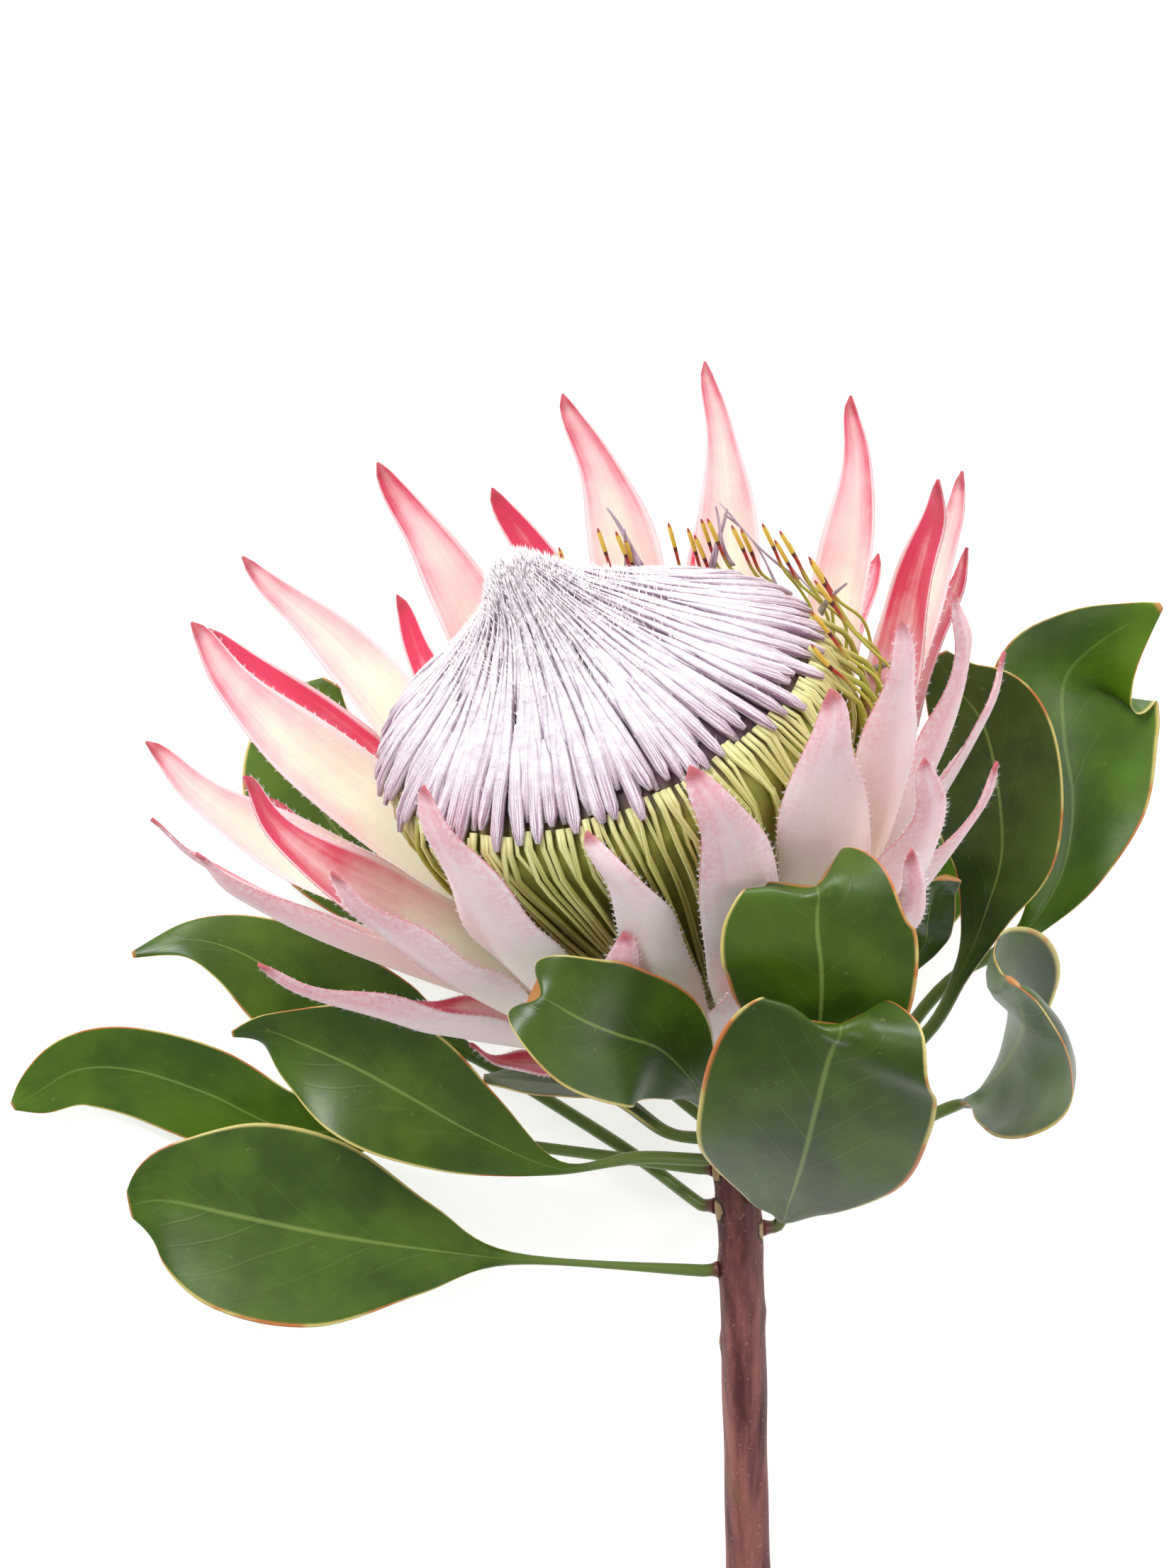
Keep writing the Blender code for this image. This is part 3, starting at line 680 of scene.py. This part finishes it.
def make_bract(name, ring, bract, blush):
    """One bract with its own ripple and crook, and short hairs on its edges and outer face."""
    sections = bract_sections(ring, bract)
    phase = random.uniform(0, TURN)
    waves = random.uniform(2.2, 3.6)
    crook = random.choice((-1.0, 1.0)) * random.uniform(0.35, 1.0)
    ripple = random.uniform(0.45, 1.0)

    def detail(t, u, v, section):
        """A soft keel, rippled edges and a tip that is pinched and turned."""
        size = section.half / 8.0
        out = KEEL * bell(u, 0.22) * size * math.sin(math.pi * min(t * 1.1, 1.0))
        out += ripple * size * abs(u) ** 3 * math.sin(waves * TURN * t + phase + (1.6 if u > 0 else 0.0))
        out -= 0.5 * section.thick * (1 - abs(u)) * (0.3 if v < 0 else 0.0)
        side = 0.45 * size * u * math.sin(9.0 * t + phase)
        side -= PINCH * section.half * u * bell(t - 0.86, 0.10)
        side += crook * (CROOK * smooth((t - 0.74) / 0.26) ** 2 - 1.4 * bell(t - 0.70, 0.12))
        out -= CURL_BACK * smooth((t - 0.84) / 0.16) ** 2
        return side, out, 0.0

    bm = cylinder(BRACT_FINE_SIDES, BRACT_FINE_STEPS)
    layers = layers_of(bm)
    shape(list(bm.verts), layers, sections, detail, blush=blush, seed=random.random())
    roots = []
    for _ in range(BRACT_HAIRS):
        t = random.uniform(0.16, 0.985)
        u = random.choice((-1.0, 1.0)) * (1.0 if random.random() < EDGE_HAIRS else random.uniform(0.2, 1.0))
        on_edge = abs(u) == 1.0
        section = sections[round(t * BRACT_FINE_STEPS)]
        side, out, _ = detail(t, u, 0.0, section)
        lift = section.bend * u * u + out + (0.0 if on_edge else section.thick * math.sqrt(1 - u * u))
        place = section.centre + section.across * (section.half * u * 0.985 + side) + section.out * lift
        forward = section.across.cross(section.out)
        lean = section.across * u * (0.9 if on_edge else 0.2) + forward * 0.9
        lean = lean + section.out * (0.15 if on_edge else 0.8) + jitter(0.55)
        roots.append((place, lean, random.uniform(0.5, 1.3), random.uniform(0.02, 0.038)))
    add_hairs(bm, roots, 1)
    piece(bm, f"{name}_fine", name, [BRACT_FINISH, HAIR_FINISH])


# How pink each bract is, in the order of the tables.
BLUSH = {
    "inner": (0.45, 0.35, 0.62, 0.30, 0.60, 0.95, 0.40, 0.30, 0.52, 0.42, 0.42, 0.50, 1.00),
    "middle": (0.75, 0.62, 0.62, 0.50, 0.25, 1.10, 0.95, 1.10, 1.05, 1.05, 0.35),
    "outer": (0.55, 0.65, 0.75, 0.6, 0.75, 0.85, 0.65, 0.6, 0.7, 0.6, 0.8, 0.6, 0.7),
    "scale": (0.95, 0.95, 1.0, 0.9, 0.9, 0.9, 0.8),
}


def make_bracts():
    for ring_name, bracts in BRACTS.items():
        for number, (bract, blush) in enumerate(zip(bracts, BLUSH[ring_name]), 1):
            make_bract(f"bract_{ring_name}_{number:02d}", RINGS[ring_name], Bract(*bract), blush)


# ---- stem

STEM_FINE_SIDES = 40
STEM_FINE_STEPS = 26
CUP_FINE_STEPS = 3
LEAF_SCAR = 2.6
CUT_CHAMFER = 0.5
# Leaf scars and knots: distance along Y, angle round the stem, size.
STEM_MARKS = [(-130, 88, 3.2), (-134, 84, 1.6), (-112, 20, 2.2), (-118, 170, 1.8), (-98, 30, 3.0),
              (-150, 60, 1.6), (-158, 140, 1.8), (-170, 20, 2.4), (-184, 110, 2.6)]


def stem_curve():
    """The stem's centre line, with the first point of the receptacle as its last."""
    return [Vector(p) for p in STEM_ROUTE] + [HEAD_BASE + AXIS * RECEPTACLE[0][0]]


def stem_sections():
    route = stem_curve()
    steps = STEM_FINE_STEPS * (len(route) - 1)
    sections = []
    for step in range(steps):
        place = step / STEM_FINE_STEPS
        along = (blend(route, place + 0.1) - blend(route, max(place - 0.1, 0))).normalized()
        sections.append(round_section(blend(route, place), along, STEM_RADIUS))
    cup = [Vector((height, radius, 0)) for height, radius in RECEPTACLE]
    for step in range(CUP_FINE_STEPS * (len(cup) - 1) + 1):
        height, radius, _ = blend(cup, step / CUP_FINE_STEPS)
        sections.append(round_section(HEAD_BASE + AXIS * height, AXIS, radius))
    return sections


def make_stem():
    """The bark with its leaf scars and knots, up to the cup that widens into the head."""
    sections = stem_sections()
    marks = [(y, math.radians(angle), size) for y, angle, size in STEM_MARKS]
    marks += [(leaf.y, math.radians(leaf.angle), LEAF_SCAR) for leaf in LEAVES.values()]

    def scar(u, v, section):
        """How much of a scar is at this spot, from 0 to 1."""
        found = 0.0
        for y, angle, size in marks:
            gap = abs(section.centre.y - y)
            if gap < 3 * size:
                turn = (math.atan2(v, u) - angle + math.pi) % (2 * math.pi) - math.pi
                found = max(found, math.exp(-(gap / size) ** 2 - (turn * STEM_RADIUS / size) ** 2))
        return found

    def is_bark(section):
        return section.half < STEM_RADIUS * 1.02

    def detail(t, u, v, section):
        """Low swellings and ridges, raised scars and a broken edge at the cut."""
        y, bulge = section.centre.y, 0.0
        if is_bark(section):
            bulge = 0.15 * math.sin(y * 0.21) * math.sin(y * 0.067 + 1.0)
            bulge += 0.10 * math.sin(5 * math.atan2(v, u) + y * 0.05) + 0.55 * scar(u, v, section)
        bulge -= CUT_CHAMFER if t < 0.004 else 0.0
        return u * bulge, v * bulge, 0.0

    def facts(t, u, v, section):
        """Blush marks the scars, along the cup and seed the cut end."""
        return {"blush": smooth((scar(u, v, section) - 0.35) * 3) * is_bark(section),
                "along": smooth((section.half - 6.0) / 6.0), "seed": 1.0 if t < 0.001 else 0.0}

    bm = cylinder(STEM_FINE_SIDES, len(sections) - 1)
    layers = layers_of(bm)
    shape(list(bm.verts), layers, sections, detail, facts)
    piece(bm, "stem_fine", "stem", [STEM_FINISH])


# ---- leaves

LEAF_FINE_SIDES = 36
LEAF_FINE_STEPS = 8
MIDRIB = 0.32
FOOT_SWELL = 0.45
# How much painted backlight brightens each leaf's green, and how deep the notch is in the tips that have
# one.
LEAF_BACKLIGHT = {
    "lower_left": 0.25, "far_left": 0.40, "left": 0.25, "upper_left": 0.35, "back_left": 0.50,
    "side_left": 0.0, "front_small": 0.10, "front_upper": 0.15, "front_lower": 0.10, "right": 0.05,
    "far_right": 0.55, "curled_right": 0.0, "curled_small": 0.1, "back_right": 1.0,
}
NOTCH = {"front_small": 7.0, "front_upper": 10.0, "front_lower": 10.0}


def stem_at(y):
    """The centre and the direction of the stem at a distance along Y."""
    route = stem_curve()
    low, high = 0.0, len(route) - 1.0
    while high - low > 0.001:
        middle = (low + high) / 2
        if blend(route, middle).y < y:
            low = middle
        else:
            high = middle
    centre = blend(route, low)
    return centre, (blend(route, low + 0.05) - centre).normalized()


def leaf_sections(leaf):
    """The stations made a smooth run from the stem to the tip, and where the blade has begun."""
    turn = math.radians(leaf.angle)
    away = Vector((math.cos(turn), 0.0, math.sin(turn)))
    centre, along_stem = stem_at(leaf.y)
    away = (away - along_stem * away.dot(along_stem)).normalized()
    start = centre + away * (STEM_RADIUS + SEAT_GAP)
    centres = [start, start + away * SEAT_LENGTH] + [Vector(s[:3]) for s in leaf.stations]
    halves = [PETIOLE_RADIUS] * 2 + [s[3] for s in leaf.stations]
    rolls = [math.radians(leaf.stations[0][4])] * 2 + [math.radians(s[4]) for s in leaf.stations]
    steps = LEAF_FINE_STEPS * (len(centres) - 1)
    sections, blades = [], []
    for step in range(steps + 1):
        place = step / LEAF_FINE_STEPS
        if place < 1:
            centre, along = start.lerp(centres[1], place), away
        else:
            centre = blend(centres, place)
            ahead = min(place + 0.2, len(centres) - 1)
            along = (blend(centres, ahead) - blend(centres, max(place - 0.2, 1))).normalized()
        level = UP.cross(along).normalized()
        steep = along.cross(level)
        roll = blend(rolls, place)
        across = level * math.cos(roll) + steep * math.sin(roll)
        half = max(blend(halves, place), 0.35)
        blade = smooth((half - PETIOLE_RADIUS) / 4.0)
        thick = PETIOLE_RADIUS + (BLADE_THICKNESS / 2 - PETIOLE_RADIUS) * blade
        if place > len(centres) / 2:
            thick = min(thick, BLADE_THICKNESS / 2)
        thick = min(thick, half)
        sections.append(Section(centre, across, along.cross(across), half, thick,
                                leaf.cup * half * blade, leaf.wave * half * blade))
        blades.append(blade)
    return sections, blades


def make_leaf(name, leaf, green, notch):
    """One leaf with a sunken midrib, gently wavy blade and a swollen foot."""
    sections, blades = leaf_sections(leaf)
    steps = len(sections) - 1
    first = next(k for k, section in enumerate(sections) if section.half > PETIOLE_RADIUS * 1.5)
    widest = max(section.half for section in sections)
    phase = random.uniform(0, TURN)

    def blade_place(k):
        """0 at the foot of the blade and 1 at its tip."""
        return max(0.0, (k - first) / (steps - first))

    def detail(t, u, v, section):
        k = round(t * steps)
        blade, place = blades[k], blade_place(k)
        out = -MIDRIB * bell(u, 0.07) * blade * (1 if v > 0 else 1.8) * (1 - 0.6 * place)
        out += 0.035 * section.half * blade * u * u * math.sin(7.0 * place + phase + 1.5 * u)
        swell = FOOT_SWELL * bell(t, 0.035)
        off_middle = smooth(2.0 * section.half * abs(u) / widest)
        ahead = notch * smooth((place - 0.66) / 0.34) * (off_middle - 0.5)
        return u * swell, out + v * swell, ahead

    def facts(t, u, v, section):
        k = round(t * steps)
        return {"along": blade_place(k), "stalk": max(0.0, 1.0 - k / first)}

    bm = cylinder(LEAF_FINE_SIDES, steps)
    layers = layers_of(bm)
    shape(list(bm.verts), layers, sections, detail, facts, blush=green, seed=random.random())
    piece(bm, f"leaf_{name}_fine", f"leaf_{name}", [LEAF_FINISH])


def make_leaves():
    for name, leaf in LEAVES.items():
        make_leaf(name, leaf, LEAF_BACKLIGHT[name], NOTCH.get(name, 0.0))


# ---- florets

WOOL_SIDES = 8
WOOL_STEPS = 9
WOOL_HAIRS = 24
PEAK_HAIRS = 2600
# The dome of wool: height and radius of its rim and its top, and the height from which it follows the
# packed florets' outline.
DOME_RIM = (72.0, 45.2)
DOME_TOP = (125.2, 0.3)
DOME_START = 79
DOME_STEPS = 64
# Height of the wool's lower edge every 30 degrees of azimuth.
FRINGE = [87.0, 88.5, 90.0, 88.0, 86.5, 84.5, 83.0, 82.5, 83.0, 84.0, 85.0, 86.0]
FRINGE_STEP = 30
# Rows of woolly heads: count, the nearest and furthest that they end up the dome, and how far above
# the fringe they start. The widest rows have as many heads as fit side by side.
FULL_ROW = 68
WOOL_ROWS = [
    (FULL_ROW, 0.34, 0.52, 0.0), (FULL_ROW, 0.48, 0.66, 0.05), (FULL_ROW, 0.58, 0.80, 0.12),
    (FULL_ROW, 0.70, 0.92, 0.26), (64, 0.80, 0.98, 0.42), (56, 0.88, 1.0, 0.58), (40, 0.94, 1.0, 0.72),
]


def run_lengths(points):
    """How far along the line each of its points is."""
    lengths = [0.0]
    for a, b in zip(points, points[1:]):
        lengths.append(lengths[-1] + (b - a).length)
    return lengths


def dome_curve():
    """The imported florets' outline from the rim to the peak, as evenly spaced points."""
    outline = [DOME_RIM] + [(h, r) for h, r in FLORETS if h >= DOME_START] + [DOME_TOP]
    points = [Vector((*p, 0)) for p in outline]
    parts = 12
    fine = [blend(points, k / parts) for k in range(parts * (len(points) - 1) + 1)]
    lengths = run_lengths(fine)
    even, place = [], 0
    for k in range(DOME_STEPS + 1):
        want = lengths[-1] * k / DOME_STEPS
        while place < len(lengths) - 2 and lengths[place + 1] < want:
            place += 1
        part = (want - lengths[place]) / max(lengths[place + 1] - lengths[place], 1e-6)
        even.append(fine[place].lerp(fine[place + 1], min(part, 1.0)))
    return even, lengths[-1]


CURVE, CURVE_LENGTH = dome_curve()


def on_dome(distance, azimuth, lift):
    """A point lift above the dome, at a distance up it from the rim, and the way out of it there."""
    place = min(max(distance / CURVE_LENGTH, 0.0), 1.0) * DOME_STEPS
    height, radius, _ = blend(CURVE, place)
    ahead = blend(CURVE, min(place + 0.5, DOME_STEPS)) - blend(CURVE, max(place - 0.5, 0))
    slope = math.atan2(ahead.y, ahead.x)
    away = outward(azimuth)
    normal = away * math.cos(slope) - AXIS * math.sin(slope)
    return peak_centre(height) + away * radius + normal * lift, normal


def fringe_distance(azimuth):
    """How far up the dome from its rim the wool's lower edge is."""
    place = (azimuth % 360) / FRINGE_STEP
    first = int(place) % len(FRINGE)
    height = FRINGE[first] + (FRINGE[(first + 1) % len(FRINGE)] - FRINGE[first]) * (place - int(place))
    k = next(k for k, point in enumerate(CURVE) if point.x >= height)
    return CURVE_LENGTH * k / DOME_STEPS


def strand_sections(points, outs, widths, thicks):
    """Sections of a strand through the points, with the half sizes given for each of them."""
    sections = []
    for k, point in enumerate(points):
        ahead = points[min(k + 1, len(points) - 1)] - points[max(k - 1, 0)]
        along = ahead.normalized()
        across = outs[k].cross(along).normalized()
        sections.append(Section(point, across, along.cross(across), widths[k], thicks[k], 0.0, 0.0))
    return sections


def wool_places():
    """Azimuth, start, end and row of every floret's woolly head."""
    places = []
    for row, (count, low, high, skip) in enumerate(WOOL_ROWS):
        for k in range(count):
            azimuth = 360 * (k + 0.5 * (row % 2)) / count + random.uniform(-1.3, 1.3)
            edge = fringe_distance(azimuth)
            reach = CURVE_LENGTH - edge
            start = edge + reach * skip + random.uniform(-2.2, 3.4)
            end = edge + reach * random.uniform(low, high)
            places.append((azimuth, start, end, row))
    return places


def make_wool():
    """The florets' closed woolly heads, the outermost lying over those further in, and their hairs."""
    places = wool_places()
    bm, layers, groups = strands(len(places), WOOL_SIDES, WOOL_STEPS)
    roots = []
    for verts, (azimuth, start, end, row) in zip(groups, places):
        sway = random.uniform(-3.0, 3.0)
        level = 0.75 - 0.20 * row + random.uniform(-0.25, 0.25)
        points, outs, widths, thicks = [], [], [], []
        for step in range(WOOL_STEPS + 1):
            s = step / WOOL_STEPS
            lift = level + (0.4 + 0.2 * row) * smooth((s - 0.6) / 0.4)
            if row == 0:
                lift += 0.9 * (1 - s) ** 4
            else:
                lift -= 0.9 * (1 - smooth(s / 0.30))
            point, out = on_dome(start + (end - start) * s, azimuth + sway * s, lift)
            radius = (point - peak_centre(AXIS.dot(point - HEAD_BASE))).length
            fit = math.pi * max(radius, 3.0) / FULL_ROW
            foot = math.sqrt(max(0.20, 1 - (1 - min(s / 0.10, 1)) ** 2))
            tip = 1.0 - 0.72 * smooth((s - 0.72) / 0.28)
            points.append(point)
            outs.append(out)
            widths.append(min(fit * (0.66 + 0.34 * smooth(s / 0.7)), 1.7) * foot * tip)
            thicks.append((0.50 + 0.62 * min(fit / 1.9, 1.0)) * foot * tip)
        sections = strand_sections(points, outs, widths, thicks)
        shape(verts, layers, sections, blush=row / 5, seed=random.random())
        forward = (points[-1] - points[0]).normalized()
        for _ in range(WOOL_HAIRS):
            k = random.randrange(0, WOOL_STEPS + 1)
            section = sections[k]
            u = random.uniform(-0.95, 0.95)
            root = section.centre + section.across * section.half * u
            root = root + section.out * section.thick * math.sqrt(1 - u * u) * 0.9
            lean = forward * 1.3 + section.out * (0.35 + 0.35 * k / WOOL_STEPS) + section.across * u * 0.4
            roots.append((root, lean + jitter(0.3), random.uniform(0.8, 2.0), random.uniform(0.03, 0.055)))
    add_hairs(bm, roots + peak_hairs(), 1)
    floret_piece(bm, "wool", WOOL_FINISH, HAIR_FINISH)


def peak_hairs():
    """The white tuft of short hairs on and round the peak."""
    roots = []
    for _ in range(PEAK_HAIRS):
        azimuth = random.uniform(0, 360)
        part = 1.0 - 0.45 * random.random() ** 1.3
        point, normal = on_dome(CURVE_LENGTH * part, azimuth, 0.9)
        lean = normal * 0.35 + AXIS + jitter(0.35)
        roots.append((point, lean, random.uniform(1.2, 2.4), random.uniform(0.10, 0.20)))
    return roots


# The core lies this far under the outline, and has this radius at the peak.
CORE_DEPTH = 1.6
CORE_PEAK = 1.5
CORE_SIDES = 64


def make_core():
    """The shaded body behind the florets' stalks and heads."""
    outline = [Vector((h, r, 0)) for h, r in FLORETS]
    parts = 4
    sections = []
    for step in range(parts * (len(outline) - 1) + 1):
        height, radius, _ = blend(outline, step / parts)
        sections.append(round_section(peak_centre(height), AXIS, max(radius - CORE_DEPTH, CORE_PEAK)))
    bm = cylinder(CORE_SIDES, len(sections) - 1)
    layers = layers_of(bm)
    shape(list(bm.verts), layers, sections)
    floret_piece(bm, "core", CORE_FINISH)


# The stalks run from the receptacle to the rim of the dome: heights, count and steps.
STALK_FOOT = 27.0
STALK_RIM = 86.0
STALK_COUNT = 170
STALK_SIDES = 6
STALK_STEPS = 12


def outline_radius(height):
    """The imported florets' radius at a height."""
    for (low, a), (high, b) in zip(FLORETS, FLORETS[1:]):
        if height <= high:
            return a + (b - a) * (height - low) / (high - low)
    return FLORETS[-1][1]


def stalk_points(azimuth, top, bow, swing, reach=0.0):
    """A thin stalk from the receptacle up past the rim, bowed outwards, and the way out at each point."""
    points, outs = [], []
    for step in range(STALK_STEPS + 1):
        s = step / STALK_STEPS
        height = STALK_FOOT + (top - STALK_FOOT) * s
        below = min(height, STALK_RIM)
        radius = outline_radius(below) - 0.3 + bow * math.sin(math.pi * s) + reach * s
        away = outward(azimuth + swing * s)
        points.append(peak_centre(below) + AXIS * max(height - STALK_RIM, 0.0) + away * radius)
        outs.append(away)
    return points, outs


def make_stalks():
    """The yellow-green stalks that show below the wool, each bent in under its floret."""
    bm, layers, groups = strands(STALK_COUNT, STALK_SIDES, STALK_STEPS)
    for k, verts in enumerate(groups):
        azimuth = 360.0 * k / STALK_COUNT + random.uniform(-0.8, 0.8)
        fringe = fringe_distance(azimuth)
        bow = random.choice((-0.9, -0.2, 0.6, 2.2)) * random.uniform(0.5, 1.2)
        swing = random.choice((1, 1, 2)) * random.uniform(-2.2, 2.2)
        points, outs = stalk_points(azimuth, STALK_RIM, bow, swing)
        edge = blend(CURVE, DOME_STEPS * fringe / CURVE_LENGTH).x
        rise = (edge + 1.5 - STALK_FOOT) / (STALK_RIM - STALK_FOOT)
        points = [blend(points, min(j * rise, STALK_STEPS)) for j in range(STALK_STEPS + 1)]
        if rise > 1.0:
            points[-1], outs[-1] = on_dome(fringe + 1.5, azimuth, 0.1)
            points[-2], outs[-2] = on_dome(fringe - 2.0, azimuth, 0.2)
        thick = random.uniform(0.45, 0.85)
        widths = [thick * (1.0 - 0.25 * math.sin(math.pi * j / STALK_STEPS)) for j in range(STALK_STEPS + 1)]
        shape(verts, layers, strand_sections(points, outs, widths, widths), seed=random.random())
    floret_piece(bm, "stalks", STALK_FINISH)


STYLE_SIDES = 7
STYLE_STEPS = 40
BOWED_STEPS = 24
# A style's radii, and how far its ring is from its tip.
STYLE_RADIUS = 0.36
BOWED_RADIUS = 0.62
STYLE_RING = 6.6
# Styles that have sprung free at the back and the right: azimuth, height of the tip, reach, bow.
STYLES = [
    (267, 98, 2, 2), (273, 99, 3, 2), (282, 101, 3, 3), (287, 97, 4, 2), (291, 100, 2, 3), (296, 99, 5, 2),
    (302, 99, 3, 3), (305, 100, 5, 4), (311, 98, 2, 3), (315, 101, 4, 4), (320, 98, 6, 5), (324, 101, 3, 4),
    (329, 102, 5, 5), (333, 98, 7, 6), (337, 100, 4, 6), (344, 105, 3, 6), (350, 99, 6, 8), (357, 105, 4, 7),
    (4, 104, 4, 9), (11, 99, 2, 9), (18, 94, 1, 8),
]
# Styles still held under the wool but bowed out at the right: azimuth and bow.
BOWED = [
    (325, 5), (331, 8), (337, 4), (342, 10), (347, 6), (352, 11), (356, 8), (0, 5), (4, 12), (8, 9), (12, 6),
    (16, 11), (20, 8), (25, 5), (30, 8), (36, 5), (150, 3), (158, 5), (166, 4), (174, 5), (186, 4),
]


def resample(points, steps):
    return [blend(points, k * (len(points) - 1) / steps) for k in range(steps + 1)]


def make_styles():
    """Free styles, each with a thicker head above a ring."""
    bm, layers, groups = strands(len(STYLES), STYLE_SIDES, STYLE_STEPS)
    for verts, (azimuth, top, reach, bow) in zip(groups, STYLES):
        base, _ = stalk_points(azimuth, top, bow, random.uniform(-5, 5), reach - 2.0)
        points = resample(base, STYLE_STEPS)
        from_tip = run_lengths(points[::-1])[::-1]
        widths = []
        for back in from_tip:
            head = 0.12 * smooth(back / 0.8) * smooth((STYLE_RING - back) / 0.8)
            ring = 0.22 * bell(back - STYLE_RING, 0.5)
            widths.append((STYLE_RADIUS + head + ring) * (0.35 + 0.65 * smooth(back / 1.0)))
        sections = strand_sections(points, [outward(azimuth)] * len(points), widths, widths)

        def facts(t, u, v, section):
            return {"along": from_tip[round(t * STYLE_STEPS)]}

        shape(verts, layers, sections, None, facts, seed=0.5)
    floret_piece(bm, "styles", STYLE_FINISH)


def make_bowed_styles():
    """Styles whose tips are still held under the wool."""
    bm, layers, groups = strands(len(BOWED), STYLE_SIDES, BOWED_STEPS)
    for verts, (azimuth, bow) in zip(groups, BOWED):
        base, _ = stalk_points(azimuth, random.uniform(84, 92), bow, random.uniform(-6, 6), -2.0)
        points = resample(base, BOWED_STEPS)
        widths = [BOWED_RADIUS] * len(points)
        sections = strand_sections(points, [outward(azimuth)] * len(points), widths, widths)
        shape(verts, layers, sections, seed=random.random())
    floret_piece(bm, "bowed", BOWED_FINISH)


RIBBON_SIDES = 8
RIBBON_STEPS = 16
RIBBON_HALF = 0.95
RIBBON_THICK = 0.22
# Loose mauve ribbons of spent florets: azimuth, height, distance, length, lean, swing.
RIBBONS = [
    (284, 88, 47, 12, 2, 4), (288, 90, 48, 13, -4, -6), (306, 86, 49, 14, 6, 8), (312, 88, 50, 12, 8, -4),
    (326, 84, 49, 15, 24, -20), (330, 86, 51, 16, 30, -26), (336, 80, 50, 16, 34, 22),
    (342, 78, 52, 15, 26, -24), (350, 70, 54, 14, 30, 26), (356, 62, 54, 16, 10, 20),
    (2, 58, 52, 14, 30, 18), (8, 50, 48, 15, 26, -20),
]


def make_ribbons():
    """Thin curled strips that narrow towards their free end."""
    bm, layers, groups = strands(len(RIBBONS), RIBBON_SIDES, RIBBON_STEPS)
    for verts, (azimuth, height, distance, length, lean, swing) in zip(groups, RIBBONS):
        up = length * math.cos(math.radians(lean))
        away_by = length * math.sin(math.radians(lean)) * 0.3
        points, outs, widths = [], [], []
        for k in range(RIBBON_STEPS + 1):
            s = k / RIBBON_STEPS
            away = outward(azimuth + swing * s * 0.8)
            curl = 2.2 * math.sin(3.0 * s + azimuth)
            points.append(HEAD_BASE + AXIS * (height + up * s) + away * (distance + curl + away_by * s))
            outs.append((away + AXIS * math.sin(2.0 * s) * 0.6).normalized())
            widths.append(RIBBON_HALF * (1 - 0.75 * s))
        sections = strand_sections(points, outs, widths, [RIBBON_THICK] * len(points))
        shape(verts, layers, sections, seed=random.random())
    floret_piece(bm, "ribbons", RIBBON_FINISH)


# ---- stage, light and camera

CAMERA_HEIGHT = 1050.0
LENS = 112.2
# Half the floor's side in metres.
FLOOR_HALF = 6.0
FLOOR_GLOW = 0.55
WORLD_LIGHT = 0.42
# Softboxes: name, place, aim, size in metres, power.
LIGHTS = [
    ("key", (-0.65, 0.95, 1.2), (0.0, 0.03, 0.05), 0.6, 20.0),
    ("fill", (0.95, -0.2, 1.0), (0.0, 0.0, 0.05), 0.8, 4.5),
    ("back", (0.3, 1.3, 0.5), (0.0, 0.05, 0.06), 0.6, 7.0),
]


def make_stage():
    bm = bmesh.new()
    bmesh.ops.create_grid(bm, x_segments=1, y_segments=1, size=FLOOR_HALF)
    floor = object_of("floor", mesh_of(bm, "floor"))
    f = Finish("floor_white", 0.9, Specular_IOR_Level=0.1)
    f.glow(rgb(255, 255, 255), FLOOR_GLOW)
    floor.data.materials.append(f.paint(rgb(246, 246, 246)))


def make_light():
    for name, place, aim, size, power in LIGHTS:
        data = bpy.data.lights.new(name, "AREA")
        data.size = size
        data.energy = power
        light = object_of(name, data)
        light.location = place
        light.rotation_euler = (Vector(aim) - Vector(place)).to_track_quat("-Z", "Y").to_euler()
    world = bpy.data.worlds.new("studio")
    world.use_nodes = True
    background = world.node_tree.nodes["Background"]
    background.inputs["Color"].default_value = (1.0, 1.0, 1.0, 1.0)
    background.inputs["Strength"].default_value = WORLD_LIGHT
    bpy.context.scene.world = world
    bpy.context.scene.view_settings.view_transform = "Standard"


def make_camera():
    """Straight above the piece and looking down, with the flower's head towards the top."""
    data = bpy.data.cameras.new("camera")
    data.lens = LENS
    camera = object_of("camera", data)
    camera.location = (MOVE + UP * CAMERA_HEIGHT) * MM
    bpy.context.scene.camera = camera


BRACT_FINISH = bract_finish()
HAIR_FINISH = hair_finish()
LEAF_FINISH = leaf_finish()
STEM_FINISH = stem_finish()
WOOL_FINISH = floret_finish()
STALK_FINISH = stalk_finish("stalk_green", rgb(230, 226, 156), rgb(164, 164, 56))
BOWED_FINISH = stalk_finish("bowed_green", rgb(188, 186, 80), rgb(150, 150, 46))
STYLE_FINISH = style_finish()
CORE_FINISH = core_finish()
RIBBON_FINISH = ribbon_finish()

make_stage()
make_light()
make_camera()
make_stem()
make_leaves()
make_bracts()
make_core()
make_wool()
make_stalks()
make_styles()
make_bowed_styles()
make_ribbons()
